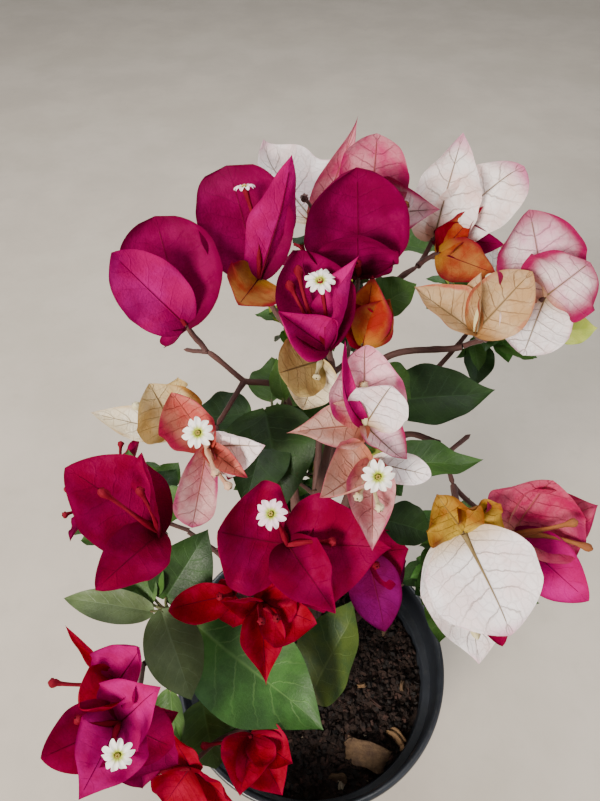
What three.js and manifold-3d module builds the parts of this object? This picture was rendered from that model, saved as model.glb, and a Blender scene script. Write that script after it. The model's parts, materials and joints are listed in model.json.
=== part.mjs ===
// A young bougainvillea in a round black nursery pot: pot, potting mix, trunk, boughs and the
// sprays of bracts and leaves that they carry. Millimetres, +Z up, with the origin at the centre
// of the pot's underside. The front of the plant faces -Y and its right side is +X.
import * as THREE from "three";
import { mergeVertices } from "three/addons/utils/BufferGeometryUtils.js";
import Module from "manifold-3d";

const wasm = await Module();
wasm.setup();

// Driving sizes
const potHeight = 112;
const potRimRadius = 65;
const potFootRadius = 46;
const potWall = 1.5;
const potFloor = 2.2;
const skirtHeight = 20; // the band under the rim that stands out from the wall
const skirtStep = 3.9;
const rimInset = 2.6; // how much further in the skirt's lower edge is than the rim
const drainHoles = 6;
const drainRadius = 4;
const drainCircle = 31;
const mixHeight = 92; // top of the potting mix at the trunk
const mixFall = 4; // how far it drops towards the wall
const mixBump = 1.4;
const mixLevel = 14; // radius of the level patch round the trunk
const trunkHeight = 76;
const trunkFoot = 9.5;
const trunkWaist = 5.6;
const trunkTop = 4.2;
const clear = 0.3; // between solids that touch on the real plant
const twigRadius = 1.05;
const knobRadius = 2.2; // the swelling where twigs fork and bracts meet
const neckRadius = 0.45; // of a leaf's stalk where it leaves the wood
const sunkDepth = 0.3; // how far behind the wood's centre line a stalk or bract starts
const claw = 1; // half the width of a leaf at the top of its stalk
const bractThick = 1.1;
const leafThick = 0.9;
const leafBend = -22; // how far a leaf's midrib arches, and how far its halves fold, in degrees
const leafCup = 24;
const shortBract = 24; // shorter bracts and leaves have one row of points fewer
const shortLeaf = 32;
const tubeRadius = 0.8;
const budRadius = 1.5;
const starRadius = 4.6;
const goldenAngle = 137.5;
const offBough = 5; // how far from its bough's centre line a spray's first leaf may stand
const rootShare = 0.6; // mm3 of a leaf that may lie in its own mass: its root in the twig, no more

const degrees = Math.PI / 180;
const potSides = 36;
const mixSides = 24;
const trunkSides = 10;
const limbSides = 6;
const limbSteps = 5;
const twigSteps = 2;

// Small tools

const point = ([x, y, z]) => new THREE.Vector3(x, y, z);

// A unit vector from a heading in the ground plane and a height over it, both in degrees.
function aim(heading, height) {
  const flat = Math.cos(height * degrees);
  return new THREE.Vector3(
    Math.cos(heading * degrees) * flat,
    Math.sin(heading * degrees) * flat,
    Math.sin(height * degrees),
  );
}

const headingOf = (way) => Math.atan2(way.y, way.x) / degrees;
const heightOf = (way) => Math.asin(way.z) / degrees;

// A repeatable run of numbers from 0 to 1.
function seeded(seed) {
  let state = seed;
  return () => {
    state = (state * 1664525 + 1013904223) % 4294967296;
    return state / 4294967296;
  };
}

function solidOf(geometry) {
  geometry.deleteAttribute("normal");
  geometry.deleteAttribute("uv");
  const merged = mergeVertices(geometry, 1e-4);
  return new wasm.Manifold(
    new wasm.Mesh({
      numProp: 3,
      vertProperties: merged.attributes.position.array,
      triVerts: new Uint32Array(merged.index.array),
    }),
  );
}

function geometryOf(solid) {
  const mesh = solid.getMesh();
  const geometry = new THREE.BufferGeometry();
  geometry.setAttribute("position", new THREE.BufferAttribute(mesh.vertProperties, 3));
  geometry.setIndex(new THREE.BufferAttribute(mesh.triVerts, 1));
  geometry.computeVertexNormals();
  return geometry;
}

const joined = (solids) => solids.reduce((whole, next) => whole.add(next));
const cutClear = (solid, guards) => guards.reduce((left, guard) => left.subtract(guard), solid);

// The biggest body of a solid: what a cut leaves loose is dropped.
function mainBody(solid) {
  return solid.decompose().reduce((a, b) => (a.volume() > b.volume() ? a : b));
}

function boxesMeet(a, b) {
  const p = a.boundingBox();
  const q = b.boundingBox();
  return [0, 1, 2].every((i) => p.min[i] < q.max[i] && q.min[i] < p.max[i]);
}

const touches = (a, b) => boxesMeet(a, b) && !a.intersect(b).isEmpty();

// Wood: a closed cylinder bent along a curve, with its radius given along the way. It stays
// above the ground height, which makes a flat cut of a root end that stands on it.

function woodAlong(curve, radiusAt, sides, steps, ground = 0) {
  const geometry = new THREE.CylinderGeometry(1, 1, 1, sides, steps);
  const frames = curve.computeFrenetFrames(steps, false);
  const place = geometry.attributes.position;
  const at = new THREE.Vector3();
  for (let i = 0; i < place.count; i++) {
    const t = place.getY(i) + 0.5;
    const ring = Math.round(t * steps);
    const radius = radiusAt(t);
    curve.getPointAt(Math.min(t, 1), at);
    at.addScaledVector(frames.normals[ring], place.getX(i) * radius);
    at.addScaledVector(frames.binormals[ring], -place.getZ(i) * radius);
    place.setXYZ(i, at.x, at.y, Math.max(at.z, ground));
  }
  return solidOf(geometry);
}

// A smooth curve through points. A grown limb is longer too, so grow pushes the last point out.
function route(points, grow) {
  const through = points.map(point);
  const ahead = through.at(-1).clone().sub(through.at(-2)).normalize();
  through.at(-1).addScaledVector(ahead, grow);
  return new THREE.CatmullRomCurve3(through, false, "centripetal");
}

// Blades: leaves and bracts are the same thin shell, cut to an outline and bent

// Half width along a blade, from 0 at its root to 1 at its widest and 0 at its point.
function outline(u) {
  const widest = 0.4;
  if (u < widest) return Math.sqrt(1 - ((widest - u) / widest) ** 2);
  const t = (u - widest) / (1 - widest);
  return (1 - t ** 1.9) ** 0.95;
}

// Where a blade's surface is at u along it and v across it, with its upward normal.
function bladePoint(blade, u, v) {
  const bend = blade.bend * degrees;
  const start = -bend / 2;
  const turn = start + bend * u;
  const ahead = (blade.long * (Math.sin(turn) - Math.sin(start))) / bend;
  const rise = (blade.long * (Math.cos(start) - Math.cos(turn))) / bend;
  const normal = blade.face.clone().multiplyScalar(Math.cos(turn));
  normal.addScaledVector(blade.along, -Math.sin(turn));
  const half = u === 0 ? claw : (blade.wide / 2) * outline(u);
  const cup = blade.cup * degrees;
  const across = (half * Math.sin(cup * v)) / cup;
  const lift = (half * (1 - Math.cos(cup * v))) / cup;
  const at = blade.root.clone().addScaledVector(blade.along, ahead);
  at.addScaledVector(blade.face, rise).addScaledVector(blade.side, across);
  at.addScaledVector(normal, lift);
  return { at, normal };
}

// A four-cornered lathe, pointed at both ends, is the shell: two of its corners run along the
// edges and two along the midrib. It starts sunk in the wood, and a stalk leaves it at full width.
function bladeSolid(blade, grow = 0) {
  const sunk = -2;
  const rooted = -1;
  const widest = blade.long < blade.short ? [0.46] : [0.27, 0.66];
  const stations = [sunk, ...(blade.stalk ? [rooted, 0] : []), ...widest, 1];
  const profile = stations.map((u, i) => new THREE.Vector2(u === sunk || u === 1 ? 0 : 1, i));
  const geometry = new THREE.LatheGeometry(profile, 4);
  const place = geometry.attributes.position;
  const neck = blade.root.clone().sub(blade.from);
  const way = (neck.length() > knobRadius ? neck : blade.along).clone().normalize();
  const level = blade.side.clone().addScaledVector(way, -way.dot(blade.side)).normalize();
  const steep = way.clone().cross(level);
  for (let i = 0; i < place.count; i++) {
    const u = stations[Math.round(place.getY(i))];
    const v = Math.round(place.getX(i));
    const w = Math.round(place.getZ(i));
    const { at, normal } = bladePoint(blade, Math.max(u, 0), v);
    at.addScaledVector(blade.side, v * grow).addScaledVector(normal, -w * (blade.thick / 2 + grow));
    if (u < 0) at.copy(blade.from).addScaledVector(level, v * (neckRadius + grow));
    if (u < 0) at.addScaledVector(steep, -w * (neckRadius + grow));
    if (u === sunk) at.addScaledVector(way, -sunkDepth);
    if (u === 1) at.addScaledVector(blade.along, grow);
    place.setXYZ(i, at.x, at.y, at.z);
  }
  return solidOf(geometry);
}

// A direction that leans away from an axis, at a turn round it, with the blade frame it gives.
function leaning(axis, turn, open) {
  const level = new THREE.Vector3(0, 0, 1).cross(axis).normalize();
  const steep = axis.clone().cross(level);
  const out = level.multiplyScalar(Math.cos(turn * degrees));
  out.addScaledVector(steep, Math.sin(turn * degrees));
  const along = axis.clone().multiplyScalar(Math.cos(open * degrees));
  along.addScaledVector(out, Math.sin(open * degrees));
  const face = axis.clone().multiplyScalar(Math.sin(open * degrees));
  face.addScaledVector(out, -Math.cos(open * degrees));
  return { along, face, side: axis.clone().cross(out) };
}

function bractBlade(whorl, [turn, open, long, wide]) {
  const root = point(whorl.at);
  const shape = { long, wide, bend: whorl.bend, cup: whorl.cup, thick: bractThick, short: shortBract };
  return { root, from: root, ...leaning(aim(...whorl.lean), turn, open), ...shape };
}

// A leaf has the heading and height of its midrib and its roll about it. Its stalk starts at from.
function leafBlade([x, y, z, heading, height, roll, long, wide], from, stalk) {
  const along = aim(heading, height);
  const level = new THREE.Vector3(0, 0, 1).cross(along).normalize();
  const face = along.clone().cross(level).multiplyScalar(Math.cos(roll * degrees));
  face.addScaledVector(level, Math.sin(roll * degrees));
  const side = along.clone().cross(face).negate();
  const shape = { long, wide, bend: leafBend, cup: leafCup, thick: leafThick, short: shortLeaf };
  return { root: point([x, y, z]), from, along, face, side, stalk, ...shape };
}

// A flower stands over its bract: a thin tube that swells to a bud, or ends in a small open star.
function flowerSolid(whorl, [turn, open, long], kind) {
  const { along } = leaning(aim(...whorl.lean), turn, open * 0.55);
  const root = point(whorl.at);
  const tip = root.clone().addScaledVector(along, long * (whorl.reach || 0.62) + 4);
  const endRadius = kind === "b" ? budRadius : 1;
  const radiusAt = (t) => (t < 0.5 ? tubeRadius : endRadius);
  const tube = woodAlong(new THREE.LineCurve3(root, tip), radiusAt, 3, 1);
  if (kind === "b") return tube;
  const star = new THREE.CylinderGeometry(starRadius, 1.2, 1.8, 5, 1);
  star.applyQuaternion(new THREE.Quaternion().setFromUnitVectors(new THREE.Vector3(0, 1, 0), along));
  star.translate(tip.x, tip.y, tip.z);
  return tube.add(solidOf(star));
}

function knobSolid(at) {
  const knob = new THREE.OctahedronGeometry(knobRadius);
  knob.translate(...at);
  return solidOf(knob);
}

// The pot, the mix in it and the woody frame

function latheUp(profile, sides) {
  const lathe = new THREE.LatheGeometry(
    profile.map(([r, z]) => new THREE.Vector2(r, z)),
    sides,
  );
  return lathe.rotateX(90 * degrees);
}

function makePot() {
  const skirtRoot = potHeight - skirtHeight;
  const bodyTop = potRimRadius - skirtStep - rimInset;
  const skirtFoot = bodyTop + skirtStep;
  const profile = [
    [0, 0],
    [potFootRadius - 1.5, 0],
    [potFootRadius, 1.5],
    [bodyTop, skirtRoot - 1],
    [skirtFoot, skirtRoot],
    [potRimRadius - 1.2, potHeight - 3],
    [potRimRadius, potHeight - 2],
    [potRimRadius - 0.6, potHeight],
    [potRimRadius - 3.6, potHeight],
    [skirtFoot - potWall, skirtRoot + 2],
    [bodyTop - potWall + 0.2, skirtRoot + 0.9],
    [potFootRadius - potWall, potFloor],
    [0, potFloor],
  ];
  let pot = solidOf(latheUp(profile, potSides));
  for (let i = 0; i < drainHoles; i++) {
    const turn = (i * 2 * Math.PI) / drainHoles;
    const hole = new THREE.CylinderGeometry(drainRadius, drainRadius, 4 * potFloor, 10);
    hole.rotateX(90 * degrees);
    hole.translate(drainCircle * Math.cos(turn), drainCircle * Math.sin(turn), 0);
    pot = pot.subtract(solidOf(hole));
  }
  return pot;
}

// The mix fills the pot and has an uneven top, level round the trunk.
function makeMix() {
  const wallTop = potRimRadius - skirtStep - rimInset;
  const slope = (wallTop - potFootRadius) / (potHeight - skirtHeight - 1);
  const fillAt = (z) => potFootRadius - potWall + slope * (z - 1.5) - 2.6 * clear;
  const edge = mixHeight - mixFall;
  const profile = [
    [0, potFloor + clear],
    [fillAt(potFloor), potFloor + clear],
    [fillAt(edge), edge],
    [44, edge + 1.7],
    [29, edge + 3],
    [mixLevel, mixHeight],
    [0, mixHeight],
  ];
  const lathe = latheUp(profile, mixSides);
  const place = lathe.attributes.position;
  for (let i = 0; i < place.count; i++) {
    const [x, y, z] = [place.getX(i), place.getY(i), place.getZ(i)];
    const wave = Math.sin(x * 0.31 + 1) * Math.cos(y * 0.27) + 0.6 * Math.sin(x * 0.11 - y * 0.43);
    if (z > edge - 1 && Math.hypot(x, y) > mixLevel + 1) place.setZ(i, z + mixBump * wave);
  }
  return solidOf(lathe);
}

const trunkRoute = [
  [0, 0, mixHeight + clear],
  [2, 3, mixHeight + 24],
  [-2, 7, mixHeight + 50],
  [-3, 10, mixHeight + trunkHeight],
];

// It flares at the foot and tapers to the top, where the last boughs leave it.
function makeTrunk(grow) {
  const curve = route(trunkRoute, grow);
  const flare = (t) => (trunkFoot - trunkWaist) * Math.exp(-t * 14);
  const radiusAt = (t) => trunkWaist + (trunkTop - trunkWaist) * t + flare(t) + grow;
  return { curve, solid: woodAlong(curve, radiusAt, trunkSides, trunkSides, mixHeight + clear) };
}

// Each bough leaves the trunk at a share of its height and goes on through its points.
const boughs = {
  bough_upper_left: {
    leaves: 0.98, root: 2.9, tip: 1.5,
    through: [[-8, 32, 212], [-12, 50, 248], [-25, 45, 258]],
  },
  bough_top: { leaves: 0.97, root: 2.9, tip: 1.7, through: [[2, 26, 208], [9, 44, 252]] },
  bough_top_back: {
    leaves: 0.88, root: 3, tip: 1.6,
    through: [[6, 44, 200], [18, 68, 246], [27, 76, 276]],
  },
  bough_far_right: {
    leaves: 0.8, root: 3, tip: 1.5,
    through: [[16, 34, 205], [25, 57, 256], [52, 51, 269]],
  },
  bough_centre: { leaves: 0.93, root: 2.6, tip: 1.6, through: [[7, 5, 196], [14, 10, 234]] },
  bough_right: {
    leaves: 0.66, root: 2.8, tip: 1.5,
    through: [[20, 24, 190], [36, 46, 225], [48, 37, 232]],
  },
  bough_left: { leaves: 0.72, root: 2.7, tip: 1.6, through: [[-24, 6, 172], [-46, -6, 189]] },
  bough_front_high: { leaves: 0.62, root: 2.4, tip: 1.5, through: [[-6, -6, 164], [-20, -10, 188]] },
  bough_front_low: { leaves: 0.34, root: 2.4, tip: 1.5, through: [[-8, -16, 132], [-24, -36, 144]] },
  bough_front_left: { leaves: 0.48, root: 2.7, tip: 1.5, through: [[-40, 2, 148], [-65, -25, 174]] },
  bough_back: { leaves: 0.76, root: 2.9, tip: 1.6, through: [[2, 46, 184], [6, 82, 218]] },
  bough_back_right: {
    leaves: 0.5, root: 2.8, tip: 1.5,
    through: [[16, 44, 156], [40, 78, 198], [66, 96, 228]],
  },
  bough_back_left: { leaves: 0.56, root: 2.5, tip: 1.5, through: [[-24, 20, 150], [-56, 36, 168]] },
  bough_right_low: { leaves: 0.3, root: 2.5, tip: 1.5, through: [[26, 14, 130], [54, 26, 156]] },
};

function makeBough(bough, start, grow) {
  const curve = route([start, ...bough.through], grow);
  const radiusAt = (t) => bough.root + (bough.tip - bough.root) * t + grow;
  return { curve, solid: woodAlong(curve, radiusAt, limbSides, limbSteps) };
}

// Whorls: three papery bracts round up to three slender flowers, on the end of a twig. at is where
// they meet and lean is the way the whorl looks. Each bract has its turn round that line, how far
// it opens from it, its length and its width; bend is how far it curls in and cup how far its sides
// fold, in degrees. flowers says what stands over each bract: o an open star, b a bud, - nothing.
const whorls = {
  A: {
    at: [-44, 52, 278], lean: [-150, 65], bend: 25, cup: 55,
    flowers: "b--", bracts: [[160, 65, 40, 35], [185, 40, 35, 30], [215, 110, 25, 26]],
  },
  B: {
    at: [-19, 65, 288], lean: [-120, 80], bend: 30, cup: 60, reach: 0.8,
    flowers: "o--", bracts: [[140, 50, 36, 40], [105, 60, 43, 24], [190, 110, 19, 28]],
  },
  C: {
    at: [15, 64, 290], lean: [-75, 80], bend: 40, cup: 75,
    flowers: "b--", bracts: [[80, 55, 36, 40], [220, 15, 26, 30], [15, 55, 18, 28]],
  },
  D: {
    at: [1, 95, 291], lean: [130, 80], bend: 15, cup: 50,
    flowers: "b--", bracts: [[275, 50, 36, 42], [190, 45, 39, 28], [230, 80, 29, 28]],
  },
  Dr: {
    at: [20, 88, 299], lean: [10, 70], bend: 20, cup: 60,
    flowers: "-b-", bracts: [[345, 50, 31, 32], [255, 50, 22, 28], [90, 45, 20, 24]],
  },
  E: {
    at: [44, 87, 290], lean: [40, 70], bend: 10, cup: 35,
    flowers: "b--", bracts: [[310, 35, 38, 38], [265, 45, 42, 34], [200, 80, 23, 22]],
  },
  Er: {
    at: [45, 80, 288], lean: [-65, 30], bend: 30, cup: 60,
    flowers: "---", bracts: [[330, 40, 15, 24], [275, 70, 12, 20], [40, 70, 11, 16]],
  },
  Fl: {
    at: [55, 51, 276], lean: [-135, 80], bend: 10, cup: 45,
    flowers: "bb-", bracts: [[205, 60, 24, 22], [75, 55, 26, 30], [110, 75, 29, 28]],
  },
  Fr: {
    at: [79, 60, 284], lean: [-55, 65], bend: 20, cup: 45,
    flowers: "b--", bracts: [[65, 70, 29, 36], [5, 60, 20, 40], [260, 125, 21, 38]],
  },
  G: {
    at: [4, 40, 279], lean: [-115, 75], bend: 35, cup: 70,
    flowers: "obb", bracts: [[130, 60, 32, 34], [195, 55, 21, 24], [90, 35, 31, 20]],
  },
  Gr: {
    at: [16, 45, 275], lean: [-55, 70], bend: 35, cup: 60,
    flowers: "---", bracts: [[25, 50, 19, 18], [60, 70, 22, 20], [95, 50, 17, 18]],
  },
  Gt: {
    at: [2, 40, 273], lean: [-110, 15], bend: 45, cup: 60,
    flowers: "b--", bracts: [[205, 50, 15, 26], [280, 50, 17, 22], [295, 90, 15, 18]],
  },
  H: {
    at: [16, 19, 265], lean: [-90, 70], bend: 35, cup: 60,
    flowers: "b--", bracts: [[100, 45, 27, 34], [330, 75, 15, 30], [185, 85, 22, 24]],
  },
  Hl: {
    at: [18, 10, 257], lean: [-85, 20], bend: 20, cup: 35,
    flowers: "obb", bracts: [[350, 65, 21, 26], [260, 45, 27, 28], [210, 60, 23, 28]],
  },
  It: {
    at: [-48, 27, 251], lean: [-170, 50], bend: 15, cup: 40,
    flowers: "b--", bracts: [[240, 40, 29, 20], [155, 35, 20, 30], [155, 80, 18, 28]],
  },
  Ic: {
    at: [-36, 18, 254], lean: [-80, 60], bend: 30, cup: 65,
    flowers: "obb", bracts: [[120, 60, 22, 28], [245, 85, 27, 26], [345, 65, 21, 28]],
  },
  J: {
    at: [-53, 0, 230], lean: [-135, 50], bend: 15, cup: 50,
    flowers: "-bb", bracts: [[170, 55, 37, 36], [265, 65, 25, 36], [120, 60, 29, 24]],
  },
  K: {
    at: [-9, -8, 236], lean: [-90, 55], bend: 20, cup: 35,
    flowers: "ob-", bracts: [[130, 75, 24, 44], [355, 85, 30, 42], [305, 105, 28, 34]],
  },
  L: {
    at: [-19, -13, 202], lean: [-80, 35], bend: 40, cup: 65,
    flowers: "bb-", bracts: [[35, 75, 18, 24], [335, 55, 21, 26], [270, 65, 24, 22]],
  },
  Ll: {
    at: [-30, -8, 198], lean: [-120, 30], bend: 30, cup: 60,
    flowers: "bb-", bracts: [[205, 55, 25, 28], [140, 85, 8, 20], [290, 85, 13, 20]],
  },
  M: {
    at: [20, 2, 210], lean: [-70, 25], bend: 15, cup: 50,
    flowers: "b--", bracts: [[0, 75, 13, 26], [255, 75, 33, 34], [295, 80, 21, 26]],
  },
  N: {
    at: [-65, -50, 193], lean: [-95, 25], bend: 15, cup: 40,
    flowers: "obb", bracts: [[255, 60, 25, 46], [200, 80, 29, 32], [30, 100, 17, 30]],
  },
  Nr: {
    at: [-63, -46, 180], lean: [-65, 10], bend: 20, cup: 50,
    flowers: "---", bracts: [[295, 45, 21, 30], [255, 60, 29, 28], [350, 80, 13, 20]],
  },
  Nu: {
    at: [-68, -38, 195], lean: [-160, 45], bend: 30, cup: 60,
    flowers: "bb-", bracts: [[135, 30, 20, 34], [270, 45, 18, 24], [190, 55, 27, 10]],
  },
  O: {
    at: [-24, -44, 149], lean: [-85, 10], bend: 20, cup: 50,
    flowers: "b--", bracts: [[330, 65, 20, 22], [295, 45, 21, 24], [230, 50, 21, 30]],
  },
  Ol: {
    at: [-48, -54, 143], lean: [-105, 20], bend: 20, cup: 50,
    flowers: "b--", bracts: [[120, 95, 17, 26], [240, 50, 16, 30], [340, 75, 24, 30]],
  },
  P: {
    at: [51, 0, 230], lean: [-95, 15], bend: 12, cup: 30,
    flowers: "b--", bracts: [[315, 50, 35, 44], [280, 60, 45, 42], [130, 100, 16, 24]],
  },
  Pr: {
    at: [71, 4, 222], lean: [-50, 35], bend: 20, cup: 50,
    flowers: "bbb", bracts: [[20, 70, 28, 46], [335, 55, 29, 36], [290, 70, 39, 30]],
  },
};

// Sprays: each is one mass of twigs, whorls and leaves that grows from a bough, at a share of its
// length, and forks at by. leaves are the large ones: the foot of the blade, heading, height, roll,
// length and width. more is how many smaller leaves the seeded rule adds.
const sprays = {
  spray_upper_left: { bough: "bough_upper_left", whorls: ["A"], by: [-38, 50, 268] },
  spray_middle_left: { bough: "bough_upper_left", whorls: ["Ic", "It"], by: [-34, 30, 251] },
  spray_top_left: { bough: "bough_top", whorls: ["B"], by: [-8, 56, 272] },
  spray_top_middle: { bough: "bough_top", whorls: ["C"], by: [14, 58, 272] },
  spray_high_centre: {
    bough: "bough_top",
    at: 0.9,
    whorls: ["G", "Gr", "Gt"],
    by: [7, 42, 266],
    leaves: [[21, 63, 275, 20, 25, -15, 18, 17]],
  },
  spray_top_back: { bough: "bough_top_back", whorls: ["D", "Dr"], by: [17, 88, 284], more: 3, seed: 4 },
  spray_top_right: { bough: "bough_top_back", whorls: ["E", "Er"], by: [38, 79, 283] },
  spray_far_right: {
    bough: "bough_far_right",
    whorls: ["Fl", "Fr"],
    by: [60, 52, 272],
    leaves: [[86, 60, 270, 10, 10, 0, 14, 11]],
  },
  spray_centre: { bough: "bough_centre", whorls: ["H", "Hl"], by: [16, 14, 250], more: 2, seed: 7 },
  spray_front: { bough: "bough_centre", at: 0.86, whorls: ["K"], by: [-2, 0, 230] },
  spray_red: { bough: "bough_front_high", whorls: ["L", "Ll"], by: [-23, -10, 194], more: 3, seed: 5 },
  spray_under: {
    bough: "bough_centre",
    at: 0.6,
    whorls: ["M"],
    by: [18, 5, 206],
    leaves: [[26, 11, 220, -15, -10, -5, 19, 18]],
    more: 3,
    seed: 11,
  },
  spray_left: { bough: "bough_left", at: 0.8, whorls: ["J"], by: [-60, 10, 208] },
  leaves_left: {
    bough: "bough_left",
    at: 0.94,
    by: [-56, -10, 190],
    leaves: [
      [-57, -6, 190, 45, 42, -30, 33, 25],
      [-62, -5, 190, 115, 40, 30, 23, 20],
      [-62, -8, 190, 140, 15, 30, 24, 22],
      [-61, -11, 190, 175, 10, 15, 35, 13],
      [-57, -12, 193, -65, -35, 5, 35, 22],
    ],
  },
  leaves_centre: {
    bough: "bough_upper_left",
    at: 0.72,
    by: [-16, 44, 240],
    leaves: [[-18, 42, 246, -75, -30, -15, 36, 36], [-11, 45, 248, 105, 55, 30, 16, 8]],
    more: 6,
    seed: 3,
  },
  leaves_right: {
    bough: "bough_right",
    at: 0.8,
    by: [32, 48, 232],
    leaves: [[29, 51, 240, 0, 5, -10, 39, 27], [23, 52, 255, -30, -25, -5, 16, 16]],
    more: 2,
    seed: 9,
  },
  leaves_front: {
    bough: "bough_front_left",
    at: 0.7,
    by: [-48, -17, 163],
    leaves: [
      [-46, -11, 176, -30, -25, -20, 62, 41],
      [-45, -31, 148, -75, -40, 0, 28, 28],
      [-57, -29, 157, -80, -45, -25, 25, 14],
    ],
  },
  leaves_inner: {
    bough: "bough_front_low",
    at: 0.42,
    by: [-3, -22, 128],
    leaves: [[0, -24, 132, 50, 50, 10, 52, 30]],
  },
  spray_lower_left: { bough: "bough_front_left", whorls: ["N", "Nr", "Nu"], by: [-62, -40, 186] },
  spray_low_front: {
    bough: "bough_front_low",
    whorls: ["O", "Ol"],
    by: [-32, -42, 144],
    more: 2,
    seed: 13,
  },
  spray_right: { bough: "bough_right", whorls: ["P", "Pr"], by: [52, 22, 226] },
};

// Masses round the back and sides, wholly by the seeded rule: where each is centred and how far
// it reaches. The first twigs of a mass end in a whorl, as many as it has blooms.
const masses = {
  mass_back_high: { bough: "bough_back", centre: [7, 115, 244], reach: 27, twigs: 6, blooms: 3, seed: 28 },
  mass_back_low: {
    bough: "bough_back_right", at: 0.5, centre: [24, 82, 177], reach: 25,
    twigs: 5, blooms: 1, seed: 10,
  },
  mass_back_middle: {
    bough: "bough_back", at: 0.5, centre: [-20, 74, 171], reach: 25,
    twigs: 5, blooms: 1, seed: 10,
  },
  mass_back_right: {
    bough: "bough_back_right", centre: [81, 107, 244], reach: 24,
    twigs: 5, blooms: 2, seed: 73,
  },
  mass_back_left: {
    bough: "bough_back_left", centre: [-86, 44, 179], reach: 25,
    twigs: 5, blooms: 2, seed: 4,
  },
  mass_back_foot: {
    bough: "bough_back_right", at: 0.22, centre: [-1, 48, 140], reach: 25,
    twigs: 5, blooms: 1, seed: 44,
  },
  mass_right_low: {
    bough: "bough_right_low", centre: [71, 13, 175], reach: 25,
    twigs: 5, blooms: 2, seed: 36,
  },
};

// The seeded rule of a mass: its stem ends inside it, twigs fan out from there on a spiral,
// the first ones end in a whorl, and leaves stand along each by the golden angle.
function growMass(mass, start) {
  const random = seeded(mass.seed);
  const centre = point(mass.centre);
  const outward = centre.clone().sub(start).normalize();
  const fork = centre.clone().addScaledVector(outward, -0.7 * mass.reach);
  const heads = [];
  const leaves = [];
  for (let i = 0; i < mass.twigs; i++) {
    const turn = i * goldenAngle + 40 * random();
    const open = 12 + (70 * i) / mass.twigs;
    const { along } = leaning(outward, turn, open);
    const tip = fork.clone().addScaledVector(along, mass.reach * (1.15 - 0.008 * open));
    if (i < mass.blooms) {
      const lean = [headingOf(along), Math.min(heightOf(along) + 15, 80)];
      const first = 360 * random();
      const bracts = [0, 120, 240].map((turned) => [
        first + turned,
        55 + 20 * random(),
        20 + 5 * random(),
        20 + 5 * random(),
      ]);
      heads.push({ at: tip.toArray(), lean, bend: 25, cup: 50, flowers: "---", bracts });
    } else {
      const roll = 20 * random() - 10;
      leaves.push([...tip.toArray(), headingOf(along), heightOf(along) - 15, roll, 20, 15]);
    }
    for (let k = 0; k < 3; k++) {
      const way = leaning(along, turn + k * goldenAngle, 60 + 20 * random()).along;
      const foot = fork.clone().lerp(tip, 0.3 + 0.24 * k).addScaledVector(way, 4);
      const roll = 30 * random() - 15;
      const size = [17 + 6 * random(), 13 + 5 * random()];
      leaves.push([...foot.toArray(), headingOf(way), heightOf(way) * 0.6 - 8, roll, ...size]);
    }
  }
  return { fork, heads, leaves: [], small: leaves };
}

// A mass keeps to its own space: a ball round its centre.
function inSpace(spray, blade) {
  if (!spray.centre) return true;
  const centre = point(spray.centre);
  const limit = 1.15 * spray.reach;
  return [0.5, 1].every((u) => bladePoint(blade, u, 0).at.distanceTo(centre) < limit);
}

// The seeded rule inside a spray: a few smaller leaves round its fork, on the outer side.
function growSpray(spray) {
  const random = seeded(spray.seed || 1);
  const fork = point(spray.by);
  const outward = Math.atan2(fork.y - trunkRoute[2][1], fork.x - trunkRoute[2][0]) / degrees;
  const small = [];
  for (let i = 0; i < (spray.more || 0); i++) {
    const heading = outward + (i % 2 ? 1 : -1) * (25 + 22 * i) + 20 * random();
    const height = 20 * random() - 15;
    const foot = fork.clone().addScaledVector(aim(heading, height), 8);
    const roll = 30 * random() - 15;
    small.push([...foot.toArray(), heading, height - 10, roll, 24 + 8 * random(), 17 + 5 * random()]);
  }
  const heads = (spray.whorls || []).map((key) => whorls[key]);
  return { fork, heads, leaves: spray.leaves || [], small };
}

function makeTwig(from, to, arrive, grow) {
  const length = from.distanceTo(to);
  const pull = arrive ? arrive.clone().multiplyScalar(-0.35 * length) : new THREE.Vector3();
  const middle = from.clone().lerp(to, 0.6).add(pull);
  const curve = new THREE.QuadraticBezierCurve3(from, middle, to);
  const radiusAt = (t) => twigRadius * (1.15 - 0.25 * t) + grow;
  return { curve, solid: woodAlong(curve, radiusAt, 3, twigSteps) };
}

// One stem from the bough to the fork, and from there a twig to each whorl, tangent to its lean.
function makeTwigs(plan, start, grow) {
  const toHeads = plan.heads.map((head) => makeTwig(plan.fork, point(head.at), aim(...head.lean), grow));
  return [makeTwig(start, plan.fork, null, grow), ...toHeads];
}

// The point on the twigs' centre lines that lies nearest to a leaf's foot, well off the bough.
function nearest(twigs, foot) {
  const bough = twigs[0].curve.getPointAt(0);
  let best = twigs[0].curve.getPointAt(1);
  for (const { curve } of twigs)
    for (let i = 1; i <= twigSteps; i++) {
      const ring = curve.getPointAt((i - 1) / twigSteps);
      const next = curve.getPointAt(i / twigSteps);
      const at = new THREE.Line3(ring, next).closestPointToPoint(foot, true, new THREE.Vector3());
      if (at.distanceTo(bough) > offBough && at.distanceTo(foot) < best.distanceTo(foot)) best = at;
    }
  return best;
}

// Building: first all the wood, so that no blade is set across another spray's twig

const pot = makePot();
const mix = makeMix();
const trunk = makeTrunk(0);
const wood = { trunk: trunk.solid };
const guards = [makeTrunk(clear).solid];
const routes = {};
for (const [name, bough] of Object.entries(boughs)) {
  const start = trunk.curve.getPointAt(bough.leaves).toArray();
  const { curve, solid } = makeBough(bough, start, 0);
  routes[name] = curve;
  wood[name] = mainBody(cutClear(solid, guards));
  guards.push(makeBough(bough, start, clear).solid);
}

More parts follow.
